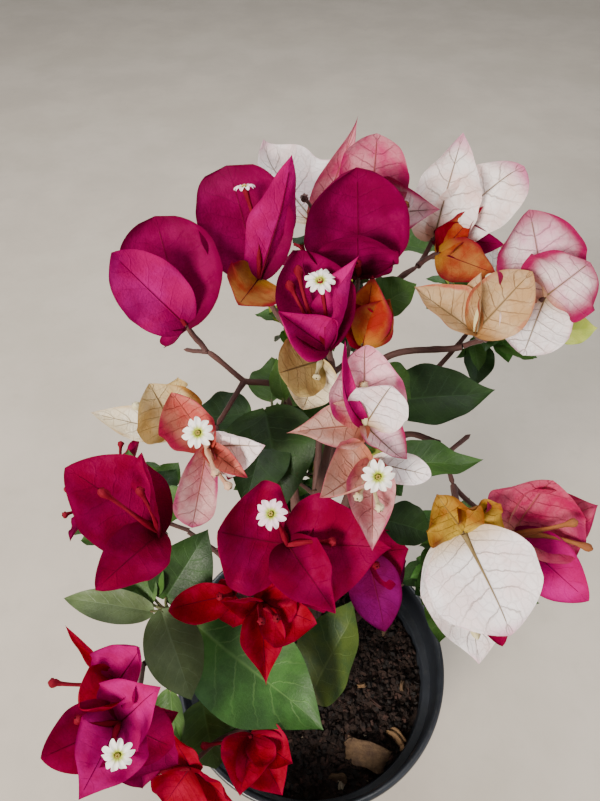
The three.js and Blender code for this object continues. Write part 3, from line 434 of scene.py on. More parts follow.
whorls = {
    "A": whorl((-44, 52, 278), (-150, 65), 25, 55, [("b", 124, 55, 22)], [
        (141, 41, 36, 37, "magenta", {"roll": -32, "blunt": 1.4, "tip": -0.1, "cup": 50}),
        (196, 14, 36, 23, "hotpink", {"roll": 12, "cup": 30, "blunt": 0.6, "ruffle": 0.05, "bend": 5}),
        (201, 112, 20, 20, "magenta", {"roll": 33, "blunt": 0.8})]),
    "B": whorl((-19, 65, 288), (-120, 80), 30, 60, [("s", 112, 71, 30)], [
        (136, 35, 35, 34, "magenta", {"blunt": 1.4, "cup": 42, "tip": -0.3, "sharp": 0.95}),
        (83, 37, 41, 19, "hotpink", {"roll": 107, "cup": 30, "bend": 8}),
        (285, 69, 20, 23, "orange", {"roll": 36, "blunt": 1.0, "ruffle": 0.06, "cup": 45, "fold": 0.15})]),
    "C": whorl((15, 64, 290), (-75, 80), 40, 75, [("b", -103, 51, 14)], [
        (92, 23, 35, 43, "magenta", {"roll": 20, "blunt": 1.2, "tip": -0.05, "cup": 70, "sharp": 0.95}),
        (198, 11, 20, 28, "magenta", {"roll": 123, "blunt": 1.4, "cup": 30}),
        (15, 55, 18, 28, "magenta")]),
    "D": whorl((1, 95, 291), (130, 80), 15, 50, [("b", -121, 58, 18, "twig")], [
        (275, 50, 36, 40, "blush", {"ruffle": 0.07}),
        (130, 26, 40, 17, "rosy", {"roll": -70, "cup": 90, "sharp": 1.7, "fold": 0.2, "twist": 30}),
        (230, 80, 29, 28, "rose", {"cup": 80})]),
    "Dr": whorl((20, 88, 299), (10, 70), 20, 60, [("b", -43, 32, 18, "tubeDry")], [
        (105, 23, 31, 25, "rosy", {"roll": 122, "blunt": 1.2, "cup": 40, "ruffle": 0.07}),
        (221, 55, 25, 25, "pinkedge", {"roll": -70, "fold": 0.35}),
        (350, 80, 18, 18, "coral")]),
    "E": whorl((44, 87, 290), (40, 70), 10, 35, [], [
        (108, 25, 41, 27, "blushtip", {"roll": 155, "ragged": 0.1, "ruffle": 0.08, "cup": 50}),
        (180, 30, 41, 24, "blushtip", {
            "roll": -121, "blunt": 1.1, "ruffle": 0.07, "cup": 40, "uneven": 0.01}),
        (208, 75, 25, 15, "magenta", {"roll": -76, "cup": 60, "fold": 0.3, "ruffle": 0.08})]),
    "Er": whorl((45, 80, 288), (-65, 30), 30, 60, [], [
        (55, 53, 21, 12, "ember", {"roll": 54, "cup": 60, "ruffle": 0.1}),
        (314, 31, 22, 19, "orange", {"roll": -18, "ruffle": 0.08, "blunt": 0.4}),
        (40, 70, 14, 20, "red")]),
    "Fl": whorl((55, 51, 276), (-135, 80), 10, 45, [("b", 69, 56, 20)], [
        (191, 66, 26, 17, "tan", {"roll": 10, "fold": 0.45, "cup": 40}),
        (73, 50, 26, 25, "tan", {"roll": -28, "blunt": 0.6, "cup": 60}),
        (124, 40, 20, 14, "tan", {"roll": 52, "fold": 0.5})]),
    "Fr": whorl((79, 60, 284), (-55, 65), 20, 45, [("b", 99, 55, 20)], [
        (102, 50, 31, 33, "pinkedge", {"roll": 56, "blunt": 0.9, "cup": 60, "ruffle": 0.06}),
        (238, 2, 23, 30, "pinkedge", {"roll": -128, "blunt": 0.9, "ruffle": 0.08}),
        (215, 102, 23, 26, "blush", {"roll": -22, "blunt": 1.2})]),
    "G": whorl((4, 40, 279), (-115, 75), 35, 70, [
        ("o", 108, 66, 22), ("b", 123, 50, 28), ("b", 136, 44, 25)], [
        (130, 55, 33, 32, "magenta", {"blunt": 0.9}),
        (190, 42, 22, 24, "hotpink", {"roll": 30, "cup": 90, "fold": 0.35}),
        (85, 37, 31, 20, "hotpink", {"cup": 80, "roll": 40, "fold": 0.2})]),
    "Gr": whorl((16, 45, 275), (-55, 70), 35, 60, [], [
        (58, 48, 23, 20, "ember", {"roll": 20}), (26, 50, 19, 18, "orange", {"fold": 0.4}),
        (95, 50, 17, 18, "red")]),
    "Gt": whorl((2, 40, 273), (-110, 15), 45, 60, [("b", -102, -4, 8)], [
        (163, 26, 21, 21, "olive", {"roll": -52, "blunt": 1.3, "bend": 15, "cup": 30}),
        (267, 41, 19, 20, "cream", {"roll": 11, "blunt": 0.9})]),
    "H": whorl((16, 19, 265), (-90, 70), 35, 60, [("s", 140, 59, 14), ("b", 112, 74, 16)], [
        (98, 32, 34, 28, "hood", {"roll": 5, "cup": 60, "fold": 0.1}),
        (31, 14, 26, 20, "blush", {"roll": -30, "blunt": 0.9, "cup": 40}),
        (170, 36, 31, 8, "hotpink", {"roll": 35, "cup": 60, "blunt": 0.4, "sway": -0.5, "bend": 10}),
        (194, 68, 27, 18, "peach", {"roll": 21, "fold": 0.4, "sharp": 1.6}),
        (308, 70, 20, 15, "pinkedge", {"fold": 0.3})]),
    "Hl": whorl((18, 10, 257), (-85, 20), 20, 35, [
        ("o", -92, 41, 19), ("b", -110, 13, 18), ("b", -87, 4, 19)], [
        (354, 68, 19, 11, "blush", {"roll": 33, "blunt": 1}),
        (257, 36, 28, 18, "rose", {"roll": -18, "fold": 0.45, "cup": 60}),
        (190, 55, 24, 24, "peach", {"roll": -60, "fold": 0.5, "cup": 90})]),
    "It": whorl((-48, 27, 251), (-170, 50), 15, 40, [("b", 179, 51, 19)], [
        (248, 34, 29, 13, "cream", {"roll": 19, "fold": 0.2}),
        (97, 29, 24, 26, "straw", {"roll": -103, "blunt": 0.7, "cup": 50}),
        (155, 70, 20, 28, "straw", {"ruffle": 0.1})]),
    "Ic": whorl((-36, 18, 254), (-80, 60), 30, 65, [
        ("o", -92, 68, 17), ("b", -71, 17, 16), ("b", -60, -3, 18)], [
        (116, 57, 23, 22, "coral", {"roll": 21, "fold": 0.3, "blunt": 0.8, "widest": 0.6}),
        (254, 79, 28, 15, "rose", {"roll": 5, "fold": 0.3, "blunt": 1.4, "cup": 50, "widest": 0.78}),
        (347, 54, 23, 22, "blush", {"roll": -30, "cup": 80, "blunt": 0.3}),
        (313, 58, 19, 13, "coral", {"roll": -5, "cup": 100, "blunt": 0.6, "fold": 0.1})]),
    "J": whorl((-53, 0, 230), (-135, 50), 15, 50, [("b", 179, 61, 30), ("b", 140, 80, 24)], [
        (160, 39, 38, 33, "crimson", {"roll": -37, "blunt": 0.7, "cup": 40}),
        (303, 31, 29, 23, "crimson", {"roll": 55, "blunt": 0.9, "cup": 60}),
        (113, 55, 32, 18, "crimson", {"roll": 20, "cup": 60, "blunt": 0.4})]),
    "K": whorl((-9, -8, 236), (-90, 55), 20, 35, [("p", 167, 74, 18), ("b", -17, 33, 19)], [
        (166, 66, 27, 40, "crimson", {"roll": -12, "blunt": 1, "bend": 45, "cup": 50}),
        (1, 66, 33, 38, "crimson", {"roll": -4, "fold": 0.25, "ruffle": 0.07, "bend": 40}),
        (310, 49, 31, 24, "crimson", {"roll": 6, "ruffle": 0.1, "cup": 70, "fold": 0.2}),
        (63, 86, 18, 14, "crimson", {"blunt": 0.8, "cup": 90})]),
    "L": whorl((-19, -13, 202), (-80, 35), 40, 65, [("b", -84, 44, 16), ("b", -58, 42, 16)], [
        (35, 75, 18, 24, "red"), (345, 60, 22, 26, "red", {"roll": 20, "blunt": 0.4}),
        (265, 60, 27, 20, "red", {"fold": 0.3, "sharp": 1.5}),
        (150, 60, 18, 14, "red", {"cup": 100})]),
    "Ll": whorl((-30, -8, 198), (-120, 30), 30, 60, [("b", -128, 57, 12)], [
        (203, 50, 25, 20, "red", {"roll": -20, "blunt": 0.7, "cup": 80}),
        (140, 85, 8, 20, "red"), (290, 85, 13, 20, "red")]),
    "M": whorl((20, 2, 210), (-70, 25), 15, 50, [("b", -79, 44, 13)], [
        (15, 60, 16, 26, "crimson", {"roll": 30}), (258, 45, 27, 22, "purple", {"roll": -33, "blunt": 0.5}),
        (295, 80, 20, 22, "purple")]),
    "N": whorl((-65, -50, 193), (-95, 25), 15, 40, [("o", -66, 49, 21), ("b", -167, 55, 18)], [
        (155, 42, 27, 24, "crimson", {"roll": -67, "blunt": 0.9, "cup": 60}),
        (119, 7, 28, 26, "hotpink", {"roll": -127, "fold": 0.25, "cup": 40}),
        (341, 83, 20, 20, "crimson", {"roll": 55, "blunt": 0.6}),
        (55, 83, 24, 26, "hotpink", {"roll": 33, "fold": 0.2, "blunt": 0.4})]),
    "Nr": whorl((-63, -46, 180), (-65, 10), 20, 50, [], [
        (300, 48, 22, 26, "magenta", {"fold": 0.3}), (255, 60, 26, 26, "magenta"),
        (350, 80, 15, 20, "crimson")]),
    "Nu": whorl((-68, -38, 195), (-160, 45), 30, 60, [("b", -174, 20, 22)], [
        (96, 80, 24, 26, "hotpink", {"roll": -30, "fold": 0.3}),
        (0, 30, 20, 24, "red", {"roll": 80, "cup": 90}), (190, 55, 27, 8, "red", {"cup": 100})]),
    "O": whorl((-24, -44, 149), (-85, 10), 20, 50, [("b", -168, 7, 20)], [
        (20, 50, 22, 18, "red", {"roll": 86}), (328, 33, 23, 24, "red", {"roll": 54, "fold": 0.3}),
        (158, 14, 21, 24, "red", {"roll": -103, "fold": 0.2})]),
    "Ol": whorl((-48, -54, 143), (-105, 20), 20, 50, [("b", -170, 10, 14)], [
        (120, 95, 17, 26, "red"), (240, 50, 16, 30, "red", {"fold": 0.3}),
        (340, 75, 24, 30, "red")]),
    "P": whorl((51, 0, 230), (-95, 15), 12, 30, [], [
        (310, 42, 35, 40, "blush", {"roll": 10, "ribRoot": 1.3, "inward": -1, "blunt": 0.6}),
        (282, 60, 45, 36, "blush", {"ruffle": 0.07}),
        (131, 104, 16, 22, "amber", {"ruffle": 0.16, "fold": 0.3, "uneven": 0.06}),
        (54, 100, 17, 20, "amber", {"ruffle": 0.18, "fold": 0.2, "uneven": 0.06})]),
    "Pb": whorl((51, 3, 226), (-95, 15), 12, 30, [("b", -83, -28, 36, "tubeStraw")], [
        (302, 40, 39, 16, "crimson", {"roll": 8, "cup": 60, "blunt": 0.8})]),
    "Pr": whorl((71, 4, 222), (-50, 35), 20, 50, [("d", -19, 47, 24), ("d", -28, 22, 26)], [
        (56, 61, 26, 42, "mottled", {"roll": 30, "blunt": 0.9, "ruffle": 0.06}),
        (5, 50, 30, 34, "mottled", {"roll": 30, "cup": 70}),
        (267, 37, 31, 23, "hotpink", {"roll": -36, "blunt": 0.6})]),
}
# Flower tubes and midribs take after the tint of their bracts
tubeTints = {
    tint: tube
    for tube, tints in {
        "tubeRed": "magenta crimson red purple orange hotpink",
        "tubePeach": "coral peach rose pinkedge rosy", "tubeDry": "mottled"}.items()
    for tint in tints.split()
}
ribTints = {
    tint: rib
    for rib, tints in {
        "ribRed": "magenta crimson red purple hotpink ember orange",
        "ribRose": "coral rose peach rosy mottled"}.items()
    for tint in tints.split()
}

# Sprays: bough, share of its length, whorls, fork, large leaves (foot, heading, height, roll, length,
# width, tint), smaller leaves and seed
sprays = {
    "spray_upper_left": ("bough_upper_left", 1, ["A"], (-38, 50, 268), [], 0, 1),
    "spray_middle_left": ("bough_upper_left", 1, ["Ic", "It"], (-34, 30, 251), [], 0, 1),
    "spray_top_left": ("bough_top", 1, ["B"], (-8, 56, 272), [], 0, 1),
    "spray_top_middle": ("bough_top", 1, ["C"], (14, 58, 272), [], 0, 1),
    "spray_high_centre": ("bough_top", 0.9, ["G", "Gr", "Gt"], (7, 42, 266), [
        (21, 63, 275, 20, 25, -15, 18, 17, "leafMid")], 0, 1),
    "spray_top_back": ("bough_top_back", 1, ["D", "Dr"], (17, 88, 284), [], 3, 4),
    "spray_top_right": ("bough_top_back", 1, ["E", "Er"], (38, 79, 283), [], 0, 1),
    "spray_far_right": ("bough_far_right", 1, ["Fl", "Fr"], (60, 52, 272), [
        (86, 60, 268, 4, 0, -30, 16, 13, "leafLime")], 0, 1),
    "spray_centre": ("bough_centre", 1, ["H", "Hl"], (16, 14, 250), [], 2, 7),
    "spray_front": ("bough_centre", 0.86, ["K"], (-2, 0, 230), [], 0, 1),
    "spray_red": ("bough_front_high", 1, ["L", "Ll"], (-23, -10, 194), [], 0, 5),
    "spray_under": ("bough_centre", 0.6, ["M"], (18, 5, 206), [
        (26, 11, 220, -15, -10, -5, 19, 18, "leafDark")], 0, 11),
    "spray_left": ("bough_left", 0.8, ["J"], (-60, 10, 208), [], 0, 1),
    "leaves_left": ("bough_left", 0.94, [], (-56, -10, 190), [
        (-57, -6, 190, 45, 42, -30, 33, 25, "leafDark"),
        (-62, -5, 190, 115, 40, 30, 23, 20, "leafMid"),
        (-62, -8, 190, 140, 15, 30, 24, 22, "leafMid"),
        (-61, -11, 190, 175, 10, 15, 35, 13, "leafGrey"),
        (-57, -12, 193, -65, -35, 5, 35, 22, "leafGrey")], 0, 1),
    "leaves_centre": ("bough_upper_left", 0.72, [], (-16, 44, 240), [
        (-18, 42, 246, -75, -30, -15, 36, 36, "leafDark"),
        (-11, 45, 248, 105, 55, 30, 16, 8, "leafMid")], 6, 3),
    "leaves_right": ("bough_right", 0.8, [], (32, 48, 232), [
        (29, 51, 240, 0, 5, -10, 39, 27, "leafDark"),
        (23, 52, 255, -30, -25, -5, 16, 16, "leafMid")], 2, 9),
    "leaves_front": ("bough_front_left", 0.7, [], (-48, -17, 163), [
        (-46, -11, 176, -30, -25, -20, 62, 41, "leafBright"),
        (-45, -31, 148, -75, -40, 0, 28, 28, "leafMid"),
        (-57, -29, 157, -80, -45, -25, 25, 14, "leafMid")], 0, 1),
    "leaves_inner": ("bough_front_low", 0.42, [], (-3, -22, 128), [
        (0, -24, 132, 50, 50, 10, 52, 30, "leafOlive")], 0, 1),
    "spray_lower_left": ("bough_front_left", 1, ["N", "Nr", "Nu"], (-62, -40, 186), [], 0, 1),
    "spray_low_front": ("bough_front_low", 1, ["O", "Ol"], (-32, -42, 144), [], 0, 13),
    "spray_right": ("bough_right", 1, ["P", "Pr", "Pb"], (52, 22, 226), [], 0, 1),
}
# Cut and dry side twigs: a place near the spray's twig, the tip and the thickness
stubs = {
    "spray_upper_left": [((-38.3, 53, 264.7), (-46.6, 53.8, 265.4), 0.8)],
    "spray_far_right": [
        ((54.7, 50.3, 271.4), (66.1, 54.5, 275.1), 1.0), ((62, 53.4, 274.2), (64.1, 55.8, 276.3), 0.8)],
    "spray_top_right": [((37.3, 82.8, 286.4), (45, 81.5, 285.2), 0.8)],
    "spray_right": [
        ((48.2, 36.9, 230.4), (60.1, 40.1, 233.3), 0.9), ((33.7, 42.9, 235.8), (42, 36, 228), 0.7)],
    "spray_lower_left": [((-54.3, -33.5, 191.8), (-65.9, -35.3, 190.2), 0.8)],
}
# Masses that grow wholly by the seeded rule: bough, share, centre, reach, twigs, blooms, seed, tints
masses = {
    "mass_back_high": ("bough_back", 1, (7, 115, 244), 27, 6, 3, 28, ["magenta", "coral", "magenta"]),
    "mass_back_low": ("bough_back_right", 0.5, (24, 82, 177), 25, 5, 1, 10, ["red"]),
    "mass_back_middle": ("bough_back", 0.5, (-20, 74, 171), 25, 5, 1, 10, ["crimson"]),
    "mass_back_right": ("bough_back_right", 1, (81, 107, 244), 24, 5, 2, 73, ["blush", "tan"]),
    "mass_back_left": ("bough_back_left", 1, (-86, 44, 179), 25, 5, 2, 4, ["magenta", "crimson"]),
    "mass_back_foot": ("bough_back_right", 0.22, (-1, 48, 140), 25, 5, 1, 44, ["red"]),
    "mass_right_low": ("bough_right_low", 1, (71, 13, 175), 25, 5, 2, 36, ["magenta", "rose"]),
}


# The seeded rules, as in the solids. A mass opens its twigs in a spiral from one fork. The first ones end
# in a whorl and the others in a leaf, and each twig has three leaves along it
massRule = {
    "forkBack": 0.7, "turnSpread": 40, "opening": 12, "openingSpread": 70, "tipReach": 1.15, "tipFall": 0.008,
    "lift": 15, "steepest": 80, "bractOpening": 55, "bractLong": 20, "bractWide": 20, "bend": 25, "cup": 50,
    "tubeShare": 0.62, "tubeMore": 4, "leafOpening": 60, "leafLong": 17, "leafWide": 13,
    "firstLeaf": 0.3, "leafStep": 0.24, "leafOut": 4, "tints": ["leafMid", "leafDark", "leafBright"],
}


def growMass(centre, reach, twigs, blooms, seed, tints, start):
    rule, numbers = massRule, seeded(seed)
    outward = unit(np.array(centre) - start)
    fork = np.array(centre) - outward * rule["forkBack"] * reach
    heads, leaves, paths = [], [], []
    for i in range(twigs):
        turn = i * goldenAngle + rule["turnSpread"] * next(numbers)
        opening = rule["opening"] + rule["openingSpread"] * i / twigs
        along = leaning(outward, turn, opening)[0]
        tip = fork + along * reach * (rule["tipReach"] - rule["tipFall"] * opening)
        paths.append((tip, along))
        if i < blooms:
            lean = (headingOf(along), min(heightOf(along) + rule["lift"], rule["steepest"]))
            first = 360 * next(numbers)
            bracts, flowers = [], []
            for turned, kind in ((0, "b"), (120, "o"), (240, "b")):
                opened = rule["bractOpening"] + 20 * next(numbers)
                long = rule["bractLong"] + 5 * next(numbers)
                wide = rule["bractWide"] + 5 * next(numbers)
                bracts.append((first + turned, opened, long, wide, tints[i]))
                way = leaning(aim(*lean), first + turned, opened * 0.55)[0]
                kind = kind if way[1] > 0.5 else "b"  # none opens towards the camera
                tubeLong = long * rule["tubeShare"] + rule["tubeMore"]
                flowers.append((kind, headingOf(way), heightOf(way), tubeLong))
            heads.append(whorl(tip, lean, rule["bend"], rule["cup"], flowers, bracts))
        else:
            roll = 20 * next(numbers) - 10
            leaves.append((*tip, headingOf(along), heightOf(along) - 15, roll, 20, 15, "leafMid"))
        for k in range(3):
            way = leaning(along, turn + k * goldenAngle, rule["leafOpening"] + 20 * next(numbers))[0]
            share = rule["firstLeaf"] + rule["leafStep"] * k
            foot = fork + (tip - fork) * share + way * rule["leafOut"]
            roll = 30 * next(numbers) - 15
            long, wide = rule["leafLong"] + 6 * next(numbers), rule["leafWide"] + 5 * next(numbers)
            tint = rule["tints"][(i + k) % 3]
            leaves.append((*foot, headingOf(way), heightOf(way) * 0.6 - 8, roll, long, wide, tint))
    return fork, heads, leaves, paths


# A spray has the whorls and large leaves that the photo shows, and more small leaves by the rule, which
# take turns on both sides of the way out from the trunk
sprayRule = {"trunkAt": (-2, 7), "firstTurn": 25, "nextTurn": 22, "leafOut": 8, "leafLong": 24,
             "leafWide": 17, "tints": ["leafMid", "leafDark"]}


def growSpray(keys, fork, large, more, seed):
    rule, numbers = sprayRule, seeded(seed)
    fork = np.array(fork, float)
    outward = math.degrees(math.atan2(fork[1] - rule["trunkAt"][1], fork[0] - rule["trunkAt"][0]))
    leaves = list(large)
    for i in range(more):
        side = 1 if i % 2 else -1
        heading = outward + side * (rule["firstTurn"] + rule["nextTurn"] * i) + 20 * next(numbers)
        height = 20 * next(numbers) - 15
        foot = fork + aim(heading, height) * rule["leafOut"]
        roll = 30 * next(numbers) - 15
        long, wide = rule["leafLong"] + 8 * next(numbers), rule["leafWide"] + 5 * next(numbers)
        leaves.append((*foot, heading, height - 10, roll, long, wide, rule["tints"][i % 2]))
    heads = [whorls[key] for key in keys]
    return fork, heads, leaves, [(head["at"], aim(*head["lean"])) for head in heads]


# A flower: a thin five-sided tube that ends in a closed twisted bud, a small open star, or dried up
flowerTube = {"radius": 0.68, "swell": 0.4, "waist": 0.1, "mouth": 0.4, "bud": 0.72, "dryHead": 0.7,
              "dryGirth": 1.1, "ridges": 5, "corners": 15}
star = {"reach": 5.2, "small": 0.7, "throat": 0.9, "cleft": 0.3, "cup": 0.9, "fold": 0.5, "anthers": 6}


# One hump of a given height at a share of a run
def hump(t, at, width, height=1.0):
    return height * np.exp(-(((t - at) / width) ** 2))


def addFlower(batch, at, flower, slot, rng):
    kind, heading, height, length = flower
    along = aim(heading, height)
    sway = unit(np.cross(along, aim(rng.uniform(0, 360), 10))) * length * 0.06
    t = np.linspace(0, 1, 30)
    path = at + np.outer(t * length, along) + np.outer(np.sin(np.pi * t), sway)
    radii = flowerTube["radius"] + hump(t, 0.22, 0.16, flowerTube["swell"])
    radii = radii - hump(t, 0.62, 0.12, flowerTube["waist"])
    last = np.clip(t - 0.85, 0, 1) / 0.15
    if kind in "ops":
        radii = radii + flowerTube["mouth"] * last
    else:
        head, girth = ("dryHead", flowerTube["dryGirth"]) if kind == "d" else ("bud", 1)
        radii = radii * girth + hump(t, 0.93, 0.07, flowerTube[head])
        radii[-1] = 0.3
    corners = flowerTube["corners"]
    spin = t * 1.2 + 3.5 * last if kind == "b" else t * 0.2
    deep = np.where((t > 0.8) & (kind == "b"), 0.2, 0.12)
    relief = 1 + deep[:, None] * np.cos(flowerTube["ridges"] * (around(corners)[None, :] + spin[:, None]))
    addTube(batch, path, radii, slot, (length, 6), corners, relief)
    if kind in "ops":
        facing = along if kind == "s" else unit(along + sunward * 1.3)
        lobes = "star" if kind == "o" else "starPink"
        addStar(batch, path[-1], facing, lobes, star["reach"] * (star["small"] if kind == "s" else 1), rng)


# The open end of a flower: five lobes, each cut in two, round a throat with its anthers
def addStar(batch, centre, axis, slot, reach, rng):
    level = unit(np.cross([0.2, 0.1, 1], axis))
    steep = np.cross(axis, level)
    corners = 120
    turns = around(corners)
    share = np.linspace(0, 1, 12)[:, None]
    lobe = 0.6 + 0.4 * np.abs(np.cos(2.5 * turns)) ** 0.6
    cleft = hump(np.mod(turns + np.pi / 5, 2 * np.pi / 5), np.pi / 5, 0.1, star["cleft"])
    edge = reach * lobe * (1 - cleft) * (1 + 0.04 * np.sin(3 * turns + rng.uniform(0, 6)))
    radius = star["throat"] + (edge[None, :] - star["throat"]) * share
    fold = star["fold"] * np.cos(10 * turns)[None, :] * share ** 1.5
    height = star["cup"] * np.sqrt(share) - 0.8 * share ** 3 + fold
    turns = turns + rng.uniform(0, 6)
    flat = np.cos(turns)[:, None] * level + np.sin(turns)[:, None] * steep
    points = centre + radius[..., None] * flat[None] + height[..., None] * axis
    fields = np.stack([share + 0 * radius, 0 * radius, 0 * radius], -1)
    addSheet(batch, points, slot, (4, 30), closed=True, fields=fields)
    rings = np.linspace(0.02, 1, 6)[:, None]
    pit = centre + (rings * 0.98)[..., None] * flat[None] + (0.5 * rings ** 2 - 0.35)[..., None] * axis
    addSheet(batch, pit, "throat", (2, 6), closed=True)
    for k in range(star["anthers"]):
        foot = centre + flat[k * corners // star["anthers"]] * 0.5
        stalk = np.stack([foot + axis * h for h in np.linspace(-0.2, 1.0, 6)])
        addTube(batch, stalk, [0.12, 0.12, 0.14, 0.3, 0.3, 0.04], "anther", (1, 1))


# One spray: its twigs, bracts, flowers and leaves, each kind a piece of its own. fine is for the masses,
# which are seen from further off, so their blades have fewer faces and no midrib
bladeFaces = {"bract": (34, 26), "leaf": (34, 24), "massBract": (16, 12), "massLeaf": (16, 10),
              "small": (12, 8)}
twigLook = {"flowering": [1.1, 1.05, *np.linspace(1.0, 0.85, 20)], "leafy": [1.1, 0.9, 0.7, 0.3],
            "swelling": 1.3, "end": 0.3}
fineTwig = {"at": (0.35, 0.55, 0.75, 0.9), "long": (6, 10), "thick": (0.7, 0.35), "leaves": 2,
            "leafLong": (9, 14), "leafWide": (7, 10), "tints": ["leafMid", "leafBright", "leafLime"]}


def nearestOn(paths, foot, avoid, clear=5):
    places = np.concatenate([resampled(path, 40) for path in paths])
    places = places[np.linalg.norm(places - avoid, axis=1) > clear]
    return places[np.argmin(np.linalg.norm(places - foot, axis=1))]


def addLeaf(leaves, twigs, leaf, paths, start, rng, rows, columns):
    root = np.array(leaf[:3], float)
    along, face, side = leafFrame(*leaf[3:6])
    long, wide, tint = leaf[6:9]
    foot = nearestOn(paths, root, start)
    stalk = bow(foot, root + along * 0.8, along, 11)
    addTube(twigs, stalk, np.linspace(0.75, 0.5, 11), "stalk", (10, 4), 7)
    blade = {"root": root, "along": along, "face": face, "side": side, "long": long, "wide": wide,
             "slot": tint, **leafShape}
    addBlade(leaves, blade, rng, rows, columns)


def makeSpray(name, start, fork, heads, leaves, ways, fine, rng):
    twigs, petals, blooms, greens = newBatch(), newBatch(), newBatch(), newBatch()
    paths = [bow(start, fork)]
    paths += [bow(fork, tip, way) for tip, way in ways]
    for k, path in enumerate(paths):
        swelling = twigLook["swelling"] if k else 1.0
        radii = [*twigLook["flowering"], swelling, twigLook["end"]] if heads else twigLook["leafy"]
        addWood(twigs, path, np.array(radii), "twig", rng, sides=12, depth=0.04, knots=2)
    for foot, tip, thick in stubs.get(name, []):
        foot = nearestOn(paths, np.array(foot), start)
        radii = np.array([thick * 1.1, *[thick] * 8, 0.1])
        addWood(twigs, bow(foot, tip), radii, "twig", rng, sides=10, depth=0.05, knots=1)
    for head in heads:
        for turn, opening, long, wide, tint, *shape in head["bracts"]:
            along, face, side = leaning(aim(*head["lean"]), turn, opening)
            blade = {
                "root": head["at"], "along": along, "face": face, "side": side, "long": long,
                "wide": wide, "bend": head["bend"], "cup": head["cup"], "slot": tint,
                **(shape[0] if shape else {}),
            }
            faces = bladeFaces["massBract" if fine else "bract"]
            addBlade(petals, blade, rng, *faces, rib=None if fine else ribTints.get(tint, "ribPale"))
        for flower in head["flowers"]:
            slot = "tubeDry" if flower[0] == "d" else tubeTints.get(head["bracts"][0][4], "tubeStraw")
            addFlower(blooms, head["at"], flower[:4], flower[4] if len(flower) > 4 else slot, rng)
    for leaf in leaves:
        addLeaf(greens, twigs, leaf, paths, start, rng, *bladeFaces["massLeaf" if fine else "leaf"])
    if fine:
        addFineTwigs(greens, twigs, fork, paths, rng)
    slots = {entry["node"]: entry["material_slot"] for entry in frame["record"]["subparts"]}
    pieces = [("twigs", twigs, "bark"), ("bracts", petals, slots[name]),
              ("flowers", blooms, slots[name]), ("leaves", greens, "leaves")]
    for kind, batch, slot in pieces:
        if batch["count"]:
            makePiece(f"{name}_{kind}", batch, slot, [name])


# Inside a mass, thinner twigs with small leaves fill out its reach
def addFineTwigs(greens, twigs, fork, paths, rng):
    radii = np.linspace(*fineTwig["thick"], 8)
    for path in paths[1:]:
        for share in fineTwig["at"]:
            foot = placeOn(path, share)
            way = unit(aim(rng.uniform(0, 360), rng.uniform(-10, 50)) + unit(path[-1] - fork) * 0.6)
            tip = foot + way * rng.uniform(*fineTwig["long"])
            addTube(twigs, bow(foot, tip, way, 8), radii, "twig", (8, 4))
            for k in range(fineTwig["leaves"]):
                lean = leaning(way, rng.uniform(0, 360), rng.uniform(35, 70))[0]
                leaf = (*(tip - way * 3 * k + lean), headingOf(lean), heightOf(lean) - 10,
                        rng.uniform(-20, 20), rng.uniform(*fineTwig["leafLong"]),
                        rng.uniform(*fineTwig["leafWide"]), rng.choice(fineTwig["tints"]))
                away = foot + 100  # so that the whole of the twig may bear a leaf
                addLeaf(greens, twigs, leaf, [np.array([foot, tip])], away, rng, *bladeFaces["small"])


def makeSprays():
    spraySeed, massSeed = 100, 300
    for index, (name, spray) in enumerate(sprays.items()):
        bough, share, keys, forkAt, large, more, seed = spray
        start = placeOn(routes[bough], share)
        fork, heads, leaves, ways = growSpray(keys, forkAt, large, more, seed)
        makeSpray(name, start, fork, heads, leaves, ways, False, random.Random(spraySeed + index))
    for index, (name, mass) in enumerate(masses.items()):
        bough, share, centre, reach, count, blooms, seed, tints = mass
        start = placeOn(routes[bough], share)
        fork, heads, leaves, ways = growMass(centre, reach, count, blooms, seed, tints, start)
        makeSpray(name, start, fork, heads, leaves, ways, True, random.Random(massSeed + index))


# Pot and potting mix

def lathe(profile, sides):
    profile = np.array(profile, float)
    turns = around(sides)
    x = profile[:, 0][:, None] * np.cos(turns)
    y = profile[:, 0][:, None] * np.sin(turns)
    return np.stack([x, y, profile[:, 1][:, None] + 0 * x], -1)


# Rounds the corners of a profile of (radius, height, rounding)
def rounded(corners, steps=5):
    places = [corners[0][:2]]
    for a, b, c in zip(corners, corners[1:], corners[2:]):
        before, at, after = (np.array(p[:2], float) for p in (a, b, c))
        first = at + unit(before - at) * b[2]
        last = at + unit(after - at) * b[2]
        for t in np.linspace(0, 1, steps):
            places.append(first * (1 - t) ** 2 + at * 2 * t * (1 - t) + last * t * t)
    return [*places, corners[-1][:2]]


# Radii, heights and distances of the pot's parts, and how finely it is cut
pot = {"foot": 46, "wall": 1.5, "floor": 2.2, "skirt": 20, "inset": 6.5, "sides": 168, "rows": 3,
       "holes": 6, "holeRing": 31, "holeRadius": 4, "holeSides": 28}


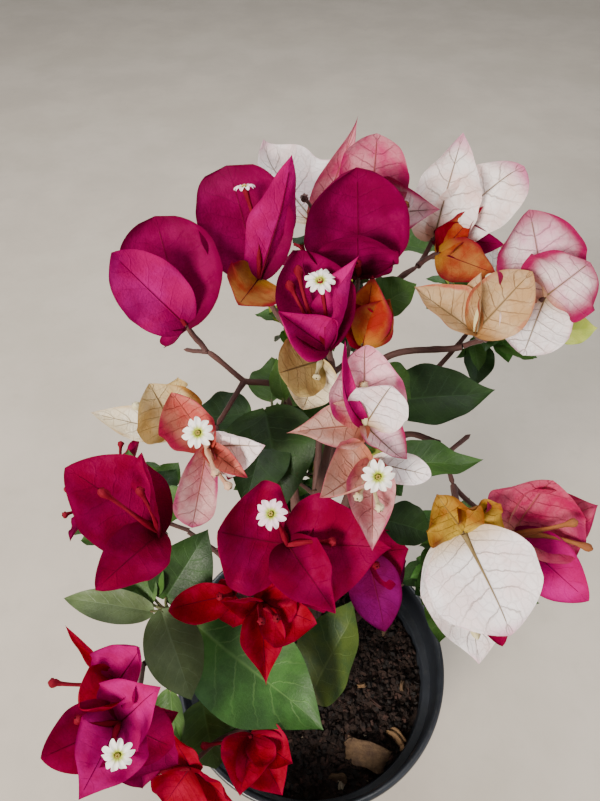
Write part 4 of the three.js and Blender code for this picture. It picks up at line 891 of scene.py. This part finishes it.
def makePot():
    foot, wall, floor = pot["foot"], pot["wall"], pot["floor"]
    bodyTop = rimRadius - pot["inset"]
    skirtRoot = potTop - pot["skirt"]
    # from the middle of the foot up the outside, over the lip and down the inside
    profile = rounded([
        (0.3, 0, 0), (foot - 1.5, 0, 0.6), (foot, 1.5, 0.6), (bodyTop, skirtRoot - 1, 0.5),
        (bodyTop + 3.9, skirtRoot, 0.6), (rimRadius - 1.4, potTop - 4.2, 0.4),
        (rimRadius, potTop - 2.2, 0.9), (rimRadius - 0.5, potTop, 0.9),
        (rimRadius - 2.6, potTop, 0.8), (rimRadius - 3.6, potTop - 2, 0.6),
        (bodyTop + 2.4, skirtRoot + 2, 0.5), (bodyTop - wall + 0.2, skirtRoot + 0.9, 0.4),
        (foot - wall, floor, 1), (0.3, floor, 0),
    ])
    filled = [profile[0]]
    for a, b in zip(profile, profile[1:]):
        count = max(2, round(math.dist(a, b) / pot["rows"]) + 1)
        for t in np.linspace(0, 1, count)[1:]:
            filled.append((a[0] + (b[0] - a[0]) * t, a[1] + (b[1] - a[1]) * t))
    points = lathe(filled, pot["sides"])
    turn = np.arctan2(points[..., 1], points[..., 0])
    warp = 1 + 0.0016 * np.sin(2 * turn + 1) + 0.0009 * np.sin(5 * turn)  # no pot is quite round
    points[..., :2] = points[..., :2] * warp[..., None]
    batch = newBatch()
    addSheet(batch, points, "polypropylene", (300, 400), closed=True)
    drillHoles(makePiece("pot_shell", batch, "pot_plastic", ["pot"], baked=False))


def drillHoles(piece):
    holes = newBatch()
    radius = pot["holeRadius"]
    for k in range(pot["holes"]):
        middle = aim(k * 360 / pot["holes"], 0) * pot["holeRing"]
        path = np.array([middle + [0, 0, z] for z in (-2, -1.99, 6, 6.01)])
        addTube(holes, path, [0.01, radius, radius, 0.01], "polypropylene", (1, 1), pot["holeSides"])
    drill = linked("drill", bpy.data.meshes.new("drill"))
    places, faces = np.concatenate(holes["points"]) * mm, np.concatenate(holes["faces"])
    drill.data.from_pydata(places.tolist(), [], faces.tolist())
    cut = piece.modifiers.new("holes", "BOOLEAN")
    cut.operation, cut.object, cut.solver = "DIFFERENCE", drill, "EXACT"
    bpy.context.view_layer.update()
    shown = piece.evaluated_get(bpy.context.evaluated_depsgraph_get())
    cutMesh = bpy.data.meshes.new_from_object(shown)
    piece.modifiers.clear()
    piece.data = cutMesh
    bpy.data.objects.remove(drill)


# The mix lies level round the trunk, in soft waves, and sinks a little towards the wall. Crumbs are strewn
# over it by size and kind
mix = {"radius": 56.6, "foot": 40, "floor": 2.6, "sides": 220, "level": 14, "bare": 10.5, "strewn": 55.5,
       "crumbs": 5200, "quickCrumbs": 400, "sizes": [0.5, 0.6, 0.7, 0.8, 0.95, 1.3], "gritEvery": 260,
       "kinds": ["peatDark", "peatBrown", "peatDark", "peatBlack", "peatBrown", "peatDark", "barkCrumb"]}


def mixHeight(x, y):
    r = np.hypot(x, y)
    level = mixTop - np.interp(r, [0, mix["level"], 29, 44, 56], [0, 0, 1, 2.3, 4])
    wave = np.sin(x * 0.31 + 1) * np.cos(y * 0.27) + 0.6 * np.sin(x * 0.11 - y * 0.43)
    return level + 1.4 * wave * np.clip((r - mix["level"]) / 4, 0, 1)


# A rough round crumb, as the six sides of a cube blown up to a ball, with sides of steps by steps faces
def lump(rng, radius, flat=1.0, long=1.0, steps=2):
    share = np.linspace(-1, 1, steps + 1)
    turn = np.linalg.qr(np.array([[rng.gauss(0, 1) for _ in range(3)] for _ in range(3)]))[0]
    turn = turn * np.linalg.det(turn)
    size = np.array([long, 1, flat]) * radius
    shift = [rng.uniform(0, 6) for _ in range(3)]
    sheets = []
    for axis in range(3):
        for sign in (-1, 1):
            a, b = np.meshgrid(share, share * sign, indexing="ij")
            side = np.roll(np.stack([a, b, np.full_like(a, sign)], -1), axis, -1)
            ball = side / np.linalg.norm(side, axis=-1)[..., None] ** 0.7
            rough = 1 + 0.28 * np.sin(ball[..., 0] * 3.1 + shift[0]) * np.sin(ball[..., 1] * 2.7 + shift[1])
            rough = rough + 0.2 * np.sin(ball[..., 2] * 5.3 + shift[2])
            sheets.append((ball * rough[..., None] * size) @ turn)
    return sheets


def makeMix():
    rng = random.Random(11)
    batch = newBatch()
    radii = np.concatenate([np.linspace(0.2, mix["radius"], 76), [56.4, 45, 0.2]])
    points = lathe([(r, 0) for r in radii], mix["sides"])
    x, y = points[..., 0], points[..., 1]
    clods = waves(random.Random(2), x * 0.25, y * 0.25, count=6, size=1.0)
    crumbs = waves(random.Random(3), x * 0.9, y * 0.9, count=5, size=0.8)
    points[..., 2] = mixHeight(x, y) + (clods + crumbs) * np.clip((np.hypot(x, y) - 8) / 6, 0, 1)
    points[-3:, :, 2] = np.array([mix["foot"], mix["floor"], mix["floor"]])[:, None]
    points[-3, :, :2] = points[-3, :, :2] * 0.9
    addSheet(batch, points[:, ::-1], "peatDark", (60, 350), closed=True)
    for k in range(mix["crumbs"]):
        reach = mix["strewn"] * math.sqrt(rng.random())
        turn = rng.uniform(0, 2 * math.pi)
        px, py = reach * math.cos(turn), reach * math.sin(turn)
        size = rng.choice(mix["sizes"])
        pz = mixHeight(px, py) + size * rng.uniform(0, 0.9)
        kind = "grit" if k % mix["gritEvery"] == 7 else mix["kinds"][k % 7]
        if reach > mix["bare"]:
            for sheet in lump(rng, size, rng.uniform(0.4, 1), rng.uniform(1, 1.9)):
                addSheet(batch, sheet + [px, py, pz], kind, (2, 2))
    for px, py, size, flat, long, kind in chips:
        for sheet in lump(rng, size, flat, long, 7):
            addSheet(batch, sheet + [px, py, mixHeight(px, py) + 1.0], kind, (10, 10))
    addShard(batch, rng)
    makePiece("mix_top", batch, "potting_mix", ["potting_mix"], baked=False)


# The arched scrap of dry bark that lies on the mix, with a hollow under it
shard = {"at": (26, -38), "lift": -1.6, "heading": 74, "long": 11, "radius": 11, "flat": 0.62,
         "thick": 0.8, "spread": 82, "steps": 19}


def addShard(batch, rng):
    x, y = shard["at"]
    middle = np.array([x, y, mixHeight(x, y) + shard["lift"]])
    heading = math.radians(shard["heading"])
    ahead = np.array([math.cos(heading), math.sin(heading), 0.06])
    level = np.array([-math.sin(heading), math.cos(heading), 0])
    share = np.linspace(-1, 1, 25)[:, None]
    steps = shard["steps"]
    arc = np.concatenate([np.linspace(-1, 1, steps), np.linspace(1, -1, steps)[1:-1]])[None, :]
    outside = np.concatenate([np.ones(steps), np.zeros(steps - 2)])[None, :]
    rough = waves(rng, share * 4, arc * 3, size=0.7) + 0 * arc
    thick = shard["thick"] * np.sqrt(np.clip(1 - share ** 8, 0, 1)) * (1 - 0.5 * arc ** 8)
    radius = shard["radius"] * (1 + 0.16 * share) + rough + thick * (outside - 0.5)
    turn = np.radians(shard["spread"]) * arc * (1 - 0.12 * np.abs(share) + 0.08 * np.sin(share * 7))
    along = share * shard["long"] / 2 + 0.9 * waves(rng, arc * 2, size=1) * np.abs(share)
    points = middle + along[..., None] * ahead + (radius * np.sin(turn))[..., None] * level
    points = points + (shard["flat"] * radius * np.cos(turn))[..., None] * np.array([0, -0.25, 0.97])
    addSheet(batch, points, "chipBrown", (17, 30), closed=True)


# Bark chips on the mix: place, size, flatness, length to width and finish
chips = [
    (41, -30, 3.4, 0.5, 1.3, "chipTan"), (44, -35, 2.0, 0.6, 1.2, "chipTan"),
    (12, -48, 3, 0.3, 1.6, "chipBrown"), (33, -16, 2.4, 0.35, 1.5, "barkCrumb"),
    (47, -8, 2.2, 0.4, 1.4, "chipBrown"), (18, -33, 2.2, 0.4, 1.8, "chipBrown"),
    (14, -50, 1.8, 0.6, 1.2, "grit"), (38, 22, 4, 0.3, 1.5, "chipBrown"),
    (-30, 30, 4, 0.3, 1.5, "chipBrown"), (-10, 44, 3, 0.3, 1.8, "chipTan"),
    (-42, -6, 4, 0.3, 1.5, "chipBrown"), (26, -8, 1.8, 0.5, 1.6, "chipTan"),
]


# Materials. Colours are sRGB hex, and each pattern is worked out from its real size in millimetres

smooth = {"interpolation_type": "SMOOTHSTEP"}
inColour = {"out": 2, "data_type": "RGBA"}


def linear(hexColour):
    parts = [int(hexColour[k:k + 2], 16) / 255 for k in (0, 2, 4)]
    return (*[c / 12.92 if c <= 0.04045 else ((c + 0.055) / 1.055) ** 2.4 for c in parts], 1.0)


# Adds a node with its settings and what its inputs hold, by place or by name, and gives back an output
def addNode(tree, kind, inputs=(), out=0, **settings):
    node = tree.nodes.new("ShaderNode" + kind)
    for name, value in settings.items():
        setattr(node, name, value)
    held = inputs if isinstance(inputs, dict) else dict(enumerate(inputs))
    for name, value in held.items():
        if isinstance(value, bpy.types.NodeSocket):
            tree.links.new(value, node.inputs[name])
        else:
            node.inputs[name].default_value = value
    return node.outputs[out] if node.outputs else node


def startMaterial(name):
    material = bpy.data.materials.new(name)
    material.use_nodes = True
    material.node_tree.nodes.clear()
    return material, material.node_tree


# What all blades share. Sizes of patches, flecks, crinkles and of the net's cells are in millimetres.
# Widths of veins are shares of the blade. rim, tip and low say where the colours of edge and foot begin
bladeLook = {
    "patch": 11.1, "broad": 20, "fleck": 2, "crinkle": 0.909, "net": 2.38, "relief": 0.4,
    "drift": 0.9, "shake": 0.14, "lateralWidth": 0.07, "midribFoot": 0.075, "midribTip": 0.02,
    "netWidth": 0.09, "mesh": 0.45, "ink": 0.45, "raised": 0.8, "bump": 0.55,
    "wander": 0.3, "rim": 0.85, "tip": 0.86, "even": 1.0, "low": 0.28,
    "rough": 0.55, "shine": 0.22, "glow": 0.3, "ior": 1.45,
}


# Leaf tissue with a thin skin, in two colours with soft patches. Rim and foot have other colours, the
# veins are raised and branch into a net, and some of the light comes through
def bladeFinish(name, hexColours, look):
    look = {**bladeLook, **look}
    base, second, edge, root, vein = (linear(hexColour) for hexColour in hexColours.split())
    material, tree = startMaterial(name)
    along, across, phase = (
        addNode(tree, "Attribute", out=2, attribute_name=field) for field in ("along", "across", "phase"))
    spots = addNode(tree, "UVMap", uv_map="spots")
    patch, broad, fleck, crinkle = (
        addNode(tree, "TexNoise", {"Vector": spots, "Scale": 1 / look[size], "Detail": detail,
                                   "Roughness": roughness})
        for size, detail, roughness in (
            ("patch", 4, 0.6), ("broad", 2, 0.5), ("fleck", 3, 0.5), ("crinkle", 5, 0.5)))
    cells = addNode(tree, "TexVoronoi", {"Vector": spots, "Scale": 1 / look["net"]},
                    feature="DISTANCE_TO_EDGE")

    drifting = addNode(tree, "Math", (patch, look["drift"], phase), operation="MULTIPLY_ADD")
    shaky = addNode(tree, "Math", (fleck, look["shake"], drifting), operation="MULTIPLY_ADD")
    nearest = addNode(tree, "Math", (shaky, 0.5), operation="PINGPONG")
    lateral = addNode(tree, "MapRange", (nearest, 0, look["lateralWidth"], 1, 0), **smooth)
    fading = addNode(tree, "MapRange", (across, 0.35, 1, 0.9, 0.2))
    lateral = addNode(tree, "Math", (lateral, fading), operation="MULTIPLY")
    midribWidth = addNode(tree, "MapRange", (along, 0, 1, look["midribFoot"], look["midribTip"]))
    midrib = addNode(tree, "MapRange", (across, 0, midribWidth, 1, 0), **smooth)
    net = addNode(tree, "MapRange", (cells, 0, look["netWidth"], look["mesh"], 0), **smooth)
    veins = addNode(tree, "Math", (lateral, net), operation="MAXIMUM")
    veins = addNode(tree, "Math", (veins, midrib), operation="MAXIMUM")

    patches = addNode(tree, "MapRange", (patch, 0.38, 0.66, 0, 1), **smooth)
    uneven = addNode(tree, "Math", (patch, look["wander"], across), operation="MULTIPLY_ADD")
    rim = addNode(tree, "MapRange", (uneven, look["rim"] + 0.12, 1.2, 0, 1), **smooth)
    tip = addNode(tree, "MapRange", (along, look["tip"], 1, 0, 0.9), **smooth)
    gate = addNode(tree, "MapRange", (broad, 0.42, 0.6, look["even"], 1), **smooth)
    rim = addNode(tree, "Math", (rim, tip), operation="MAXIMUM")
    rim = addNode(tree, "Math", (rim, gate), operation="MULTIPLY")
    # the foot colour takes over near the root: the own foot tint of leaves and faded bracts, and painted
    # shade on the deep bracts, where the cupped bracts meet
    low = addNode(tree, "MapRange", (along, 0, look["low"], 0.85, 0), **smooth)
    marked = addNode(tree, "Math", (veins, look["ink"]), operation="MULTIPLY")
    colour = base
    for share, layer in ((patches, second), (rim, edge), (low, root), (marked, vein)):
        colour = addNode(tree, "Mix", {0: share, 6: colour, 7: layer}, **inColour)

    height = addNode(tree, "Math", (veins, look["raised"], crinkle), operation="MULTIPLY_ADD")
    bump = addNode(tree, "Bump", {
        "Height": height, "Strength": look["bump"], "Distance": look["relief"] * mm})
    rough = addNode(tree, "MapRange", (crinkle, 0.3, 0.7, look["rough"] - 0.07, look["rough"] + 0.09))
    skin = addNode(tree, "BsdfPrincipled", {
        "Base Color": colour, "Roughness": rough, "Normal": bump, "IOR": look["ior"],
        "Specular IOR Level": look["shine"]})
    through = addNode(tree, "BsdfTranslucent", {"Color": colour, "Normal": bump})
    both = addNode(tree, "MixShader", (look["glow"], skin, through))
    addNode(tree, "OutputMaterial", (both,))
    return material


# What bark, mix, plastic and flower parts share. patch, grain and depth are in millimetres. stretch draws
# the pattern out along a stem. Without it the pattern fills space
groundLook = {"speck": 0.5, "bump": 0.6, "depth": 0.6, "rough": 0.6, "shine": 0.4, "sheen": 0.0, "ior": 1.5}


# Two colours in patches, specks of a third, and a finer grain with its own relief
def groundFinish(name, hexColours, look):
    look = {**groundLook, **look}
    base, second, *specks = (linear(hexColour) for hexColour in hexColours.split())
    material, tree = startMaterial(name)
    if "stretch" in look:
        spots = addNode(tree, "UVMap", uv_map="spots")
        places = addNode(tree, "Mapping", {"Vector": spots, "Scale": look["stretch"]})
        millimetre = 1
    else:
        places = addNode(tree, "TexCoord", out=3)
        millimetre = mm
    patch, grain = (
        addNode(tree, "TexNoise", {"Vector": places, "Scale": 1 / (look[size] * millimetre),
                                   "Detail": detail, "Roughness": roughness})
        for size, detail, roughness in (("patch", 5, 0.65), ("grain", 6, 0.7)))
    spread = addNode(tree, "MapRange", (patch, 0.35, 0.68, 0, 1), **smooth)
    flecks = addNode(tree, "MapRange", (grain, 0.55, 0.72, 0, look["speck"]))
    colour = addNode(tree, "Mix", {0: spread, 6: base, 7: second}, **inColour)
    colour = addNode(tree, "Mix", {0: flecks, 6: colour, 7: (specks or [second])[0]}, **inColour)
    bump = addNode(tree, "Bump", {"Height": grain, "Strength": look["bump"], "Distance": look["depth"] * mm})
    rough = addNode(tree, "MapRange", (patch, 0.3, 0.7, look["rough"] - 0.08, look["rough"] + 0.08))
    skin = addNode(tree, "BsdfPrincipled", {
        "Base Color": colour, "Roughness": rough, "Normal": bump, "IOR": look["ior"],
        "Specular IOR Level": look["shine"], "Sheen Weight": look["sheen"]})
    addNode(tree, "OutputMaterial", (skin,))
    return material


petalLook = {"grain": 0.714, "relief": 0.3, "rough": 0.6, "shine": 0.3, "sheen": 0.2, "glow": 0.25}


# The lobes of an open flower: thin soft tissue, so they look milky, and yellow-green near the throat
def petalFinish(name, lobe, throat):
    material, tree = startMaterial(name)
    along = addNode(tree, "Attribute", out=2, attribute_name="along")
    inner = addNode(tree, "MapRange", (along, 0.1, 0.5, 1, 0), **smooth)
    colour = addNode(tree, "Mix", {0: inner, 6: linear(lobe), 7: linear(throat)}, **inColour)
    spots = addNode(tree, "UVMap", uv_map="spots")
    grain = addNode(tree, "TexNoise", {"Vector": spots, "Scale": 1 / petalLook["grain"], "Detail": 3})
    bump = addNode(tree, "Bump", {"Height": grain, "Strength": 0.3, "Distance": petalLook["relief"] * mm})
    skin = addNode(tree, "BsdfPrincipled", {
        "Base Color": colour, "Roughness": petalLook["rough"], "Normal": bump,
        "Specular IOR Level": petalLook["shine"], "Sheen Weight": petalLook["sheen"]})
    through = addNode(tree, "BsdfTranslucent", {"Color": colour})
    both = addNode(tree, "MixShader", (petalLook["glow"], skin, through))
    addNode(tree, "OutputMaterial", (both,))
    return material


# Colours of a blade in the order base, patches, edge, foot and veins, then what sets the tint apart

# Young bracts are papery and full of dye: matt, glowing where light comes through, veins hardly seen. On all
# but orange and ember the darker foot colour is painted shade where the cupped bracts meet
deepNature = {"ink": 0.16, "mesh": 0.25, "shine": 0.03, "glow": 0.32, "raised": 0.5}
deepTints = {
    "magenta": ("720037 870249 690031 530022 40001b", {}),
    "crimson": ("7d002c 8c0342 7f0035 490015 3e0017", {}),
    "purple": ("63003e 76035c 5a0039 3b0024 350028", {}),
    "red": ("8c001b a60735 980033 53000e 48000c", {}),
    "hotpink": ("aa005e bd0c7a 980055 7a033e 6f0335", {}),
    "orange": ("a46c38 963a20 810a28 aa7a2a 622c0e", {"rim": 0.5}),
    "ember": ("972619 af6228 850535 b2762c 62190e", {"rim": 0.6}),
}
# Fading bracts lose their dye from the middle outwards, so the brown or pink net of veins shows, and
# only the rim keeps some colour
paleNature = {"ink": 0.6, "mesh": 0.26, "net": 3.85, "raised": 1.1, "bump": 0.7, "wander": 0.6, "even": 0.08}
paleTints = {
    "coral": ("bd554d cf8572 aa1949 ae4639 812f2a", {"rim": 0.66}),
    "rose": ("d7a6a3 c2767d ae356b b35651 8b464d", {"rim": 0.82}),
    "mottled": ("c4536f b20e51 940e4d cf947d 7f1d33", {"rim": 0.7}),
    "rosy": ("cf8390 c0426f a31255 b56249 832f49", {"rim": 0.62}),
    "hood": ("f0c2cc e494a8 c0107c dc8a70 8c4456", {"rim": 0.78, "tip": 0.8}),
    "pinkedge": ("f6e6e6 eeb8cc 98004e c08c70 8c4c62", {"rim": 0.38, "tip": 0.62, "even": 1.0}),
    "blush": ("fffafa f8e6e4 e0a8bc c8ac78 6c5436", {"rim": 0.95, "wander": 0.3}),
    "blushtip": ("fffaf8 f6dcd6 c43c88 c88c70 7e6048", {
        "rim": 0.99, "tip": 0.76, "even": 0.8, "wander": 0.1}),
    "peach": ("d79985 deb9a8 c05c6f c4724f 945e49", {"rim": 0.8}),
    "cream": ("eedfbc f4ecd8 dcc094 ccb470 9a8050", {"rim": 0.9}),
    "tan": ("bd9869 ccb089 b96349 9b6b35 633c1d", {"rim": 0.95}),
    "olive": ("b59b5e c0aa72 9b7c44 726328 674d1d", {}),
    "straw": ("d1b26f dcc899 aa7a37 9b7d2f 6b4d1b", {}),
    "amber": ("b28e2c 9b5c19 6b240c c0a33b 622f0a", {"rim": 0.7}),
}
# Leaves are thicker and waxy: a soft gloss, little light through, veins sunk into the upper side
leafNature = {"rough": 0.5, "shine": 0.34, "glow": 0.14, "net": 1.429, "mesh": 0.2, "ink": 0.24,
              "raised": -0.9, "bump": 0.3, "low": 0.1, "rim": 0.97, "tip": 0.98}
leafTints = {
    "leafMid": ("2d4b18 3b5d20 24441d 517235 668949", {}),
    "leafDark": ("1c3313 28441b 193117 3e622c 466b3b", {}),
    "leafBright": ("2b4e1c 386226 2c5523 638942 7a9f5a", {}),
    "leafGrey": ("465531 56673e 394f39 6d8556 7c926d", {}),
    "leafOlive": ("40511b 2c4420 374d1d 8c9467 708549", {}),
    "leafLime": ("8c9b2f a6ae49 74852a 9ba653 b5b96f", {}),
}
# Parts of a stem or flower, with a pattern along them. Colours: base, patches and, where given, specks
tube = {"patch": 3.33, "grain": 0.5, "rough": 0.7, "stretch": (0.3, 1, 1)}
rib = {"patch": 2.5, "grain": 0.5, "stretch": (0.3, 1, 1)}
pollen = {"patch": 1, "stretch": (1, 1, 1)}
# Damp compost, so there is no gloss at all and every crumb is nearly black
crumb = {"patch": 3.33, "rough": 0.9, "bump": 1.0, "depth": 1}
groundLooks = {
    # cork over old wood: brown, rough and matt, cracked, paler where it has flaked
    "oldBark": ("442f24 705946 281c15", {
        "patch": 8.33, "grain": 1.667, "rough": 0.85, "bump": 0.9, "depth": 1.2, "stretch": (0.35, 1, 1)}),
    # first bark on young wood: smoother, purple-brown with pale flecks
    "youngBark": ("412620 5a3b35 7c6755", {
        "speck": 0.35, "patch": 6.25, "grain": 1.11, "rough": 0.7, "stretch": (0.3, 1, 1)}),
    # downy skin of this year's twigs: a soft bloom at the edges
    "twig": ("40201c 553028 785846", {
        "speck": 0.3, "patch": 3.33, "grain": 0.714, "rough": 0.65, "sheen": 0.15, "stretch": (0.4, 1, 1)}),
    # green leaf stalk, flushed with brown
    "stalk": ("546b33 654b31", {
        "patch": 3.33, "grain": 0.667, "rough": 0.55, "sheen": 0.1, "stretch": (0.5, 1, 1)}),
    # hardened thorn: smooth, with a dull shine
    "thorn": ("442a1f 725944", {"patch": 1.25, "grain": 0.5, "rough": 0.5, "stretch": (0.5, 1, 1)}),
    # velvety flower tubes in the colours of their bracts: no highlight, and a pale nap on the light ones
    "tubeRed": ("620315 7c1528", {**tube, "shine": 0.08}),
    "tubePeach": ("bd8969 cfb58e", {**tube, "sheen": 0.2}),
    "tubeStraw": ("beb17c d1caa5", {**tube, "sheen": 0.2}),
    # withered tube: brittle, brown and streaked along it
    "tubeDry": ("693512 8b5320 441d0a", {
        "patch": 2.5, "grain": 0.625, "rough": 0.75, "stretch": (0.2, 1, 1)}),
    # midribs of bracts: tougher tissue, so they stand out darker than the blade
    "ribRed": ("4b0315 670824", {**rib, "shine": 0.06}),
    "ribRose": ("884235 a36755", {**rib, "shine": 0.1}),
    "ribPale": ("655131 837249", {**rib, "shine": 0.15}),
    # moist green throat of a flower, and the mealy yellow of its anthers
    "throat": ("485312 7f8b28", {**pollen, "grain": 0.333}),
    "anther": ("b9a149 816b24", {**pollen, "grain": 0.25}),
    # peat and compost, bark crumbs and a little grit
    "peatDark": ("1d110b 2b1b11 100906", {**crumb, "patch": 5, "grain": 0.909, "depth": 1.5}),
    "peatBrown": ("261813 34231b 191009", {**crumb, "grain": 0.833}),
    "peatBlack": ("100a07 1b120d", {**crumb, "grain": 0.833, "rough": 0.8, "depth": 0.6}),
    "barkCrumb": ("301d16 3e271f 24120a", {**crumb, "grain": 1, "rough": 0.85, "bump": 0.9, "depth": 0.6}),
    "grit": ("766956 90836d", {**crumb, "grain": 1, "rough": 0.85, "bump": 0.6, "depth": 0.6}),
    # chips of composted bark: fibrous and matt, with paler broken faces
    "chipTan": ("654c33 7f6344 49331d", {"patch": 6.67, "grain": 1.25, "rough": 0.8, "bump": 0.9}),
    "chipBrown": ("483526 654f37 22150e", {"patch": 6.67, "grain": 1.25, "rough": 0.85, "bump": 0.9}),
    # moulded black polypropylene: an even soft sheen and pale specks of dust. Its dark base and lighter
    # patches are tinted blue-grey, partly the plastic's own tone and partly a painted sky reflection like the
    # lit band on the lip
    "polypropylene": ("1d2025 272b32 4e4e48", {
        "speck": 0.25, "patch": 33.3, "grain": 2.5, "rough": 0.36, "bump": 0.12, "depth": 0.3, "shine": 0.5}),
}

finishes = {
    name: bladeFinish(name + kind, hexColours, {**nature, **look})
    for kind, nature, tints in (
        ("Bract", deepNature, deepTints), ("FadedBract", paleNature, paleTints), ("", leafNature, leafTints))
    for name, (hexColours, look) in tints.items()
}
finishes.update({name: groundFinish(name, *rows) for name, rows in groundLooks.items()})
finishes["star"] = petalFinish("creamPetal", "fdfbf0", "b4c438")
finishes["starPink"] = petalFinish("pinkPetal", "fbdce6", "b4c438")
print("finishes", len(finishes))


# The plant

makeLimbs()
print("limbs made")
makeSprays()
print("sprays and masses made")
makePot()
makeMix()
print("pot and mix made")


# Floor, light and camera, in metres

# Smooth pale screed: matt, with faint clouds, so that the plant's colours stand out
floorLook = {"patch": 125, "grain": 20, "rough": 0.8, "bump": 0.1, "speck": 0.3}
floorColours, floorReach = "b4aa9c beb4a6 a89e90", 4
lights = {
    "key": {"at": (-0.75, -0.95, 0.8), "to": (0, 0.03, 0.2), "size": 0.5, "watts": 40, "tint": "fff6ec"},
    "fill": {"at": (0.9, -0.4, 0.8), "to": (0, 0.03, 0.2), "size": 0.9, "watts": 4, "tint": "eef4ff"},
    "top": {"at": (0, 0.5, 1.2), "to": (0, 0.03, 0.22), "size": 0.8, "watts": 13, "tint": "ffffff"},
}
sky = {"tint": "eef1f5", "strength": 0.45}
view = {"at": (-0.005, -0.104, 0.413), "below": 48, "lens": 27, "sensor": 36}  # degrees below the level


def makeFloor():
    mesh = bpy.data.meshes.new("floor")
    corners = [(x * floorReach, y * floorReach, 0) for x, y in ((-1, -1), (1, -1), (1, 1), (-1, 1))]
    mesh.from_pydata(corners, [], [(0, 1, 2, 3)])
    mesh.materials.append(groundFinish("paleScreed", floorColours, floorLook))
    linked("floor", mesh)


def addLight(name, look):
    lamp = bpy.data.lights.new(name, "AREA")
    lamp.shape, lamp.size, lamp.energy = "DISK", look["size"], look["watts"]
    lamp.color = linear(look["tint"])[:3]
    light = linked(name, lamp)
    light.location = look["at"]
    facing = unit(np.array(look["to"]) - np.array(look["at"]))
    light.rotation_euler = (math.acos(-facing[2]), 0, math.atan2(facing[1], facing[0]) - math.pi / 2)


def makeWorld():
    world = bpy.data.worlds.new("studio")
    bpy.context.scene.world = world
    world.use_nodes = True
    back = world.node_tree.nodes["Background"]
    back.inputs["Color"].default_value = linear(sky["tint"])
    back.inputs["Strength"].default_value = sky["strength"]


def makeCamera():
    data = bpy.data.cameras.new("camera")
    data.lens, data.sensor_width = view["lens"], view["sensor"]
    data.clip_start, data.clip_end = 0.01, 20
    camera = linked("camera", data)
    camera.location = view["at"]
    camera.rotation_euler = (math.radians(90 - view["below"]), 0, 0)
    bpy.context.scene.camera = camera


makeFloor()
for name, look in lights.items():
    addLight(name, look)
makeWorld()
makeCamera()
print("stage made")
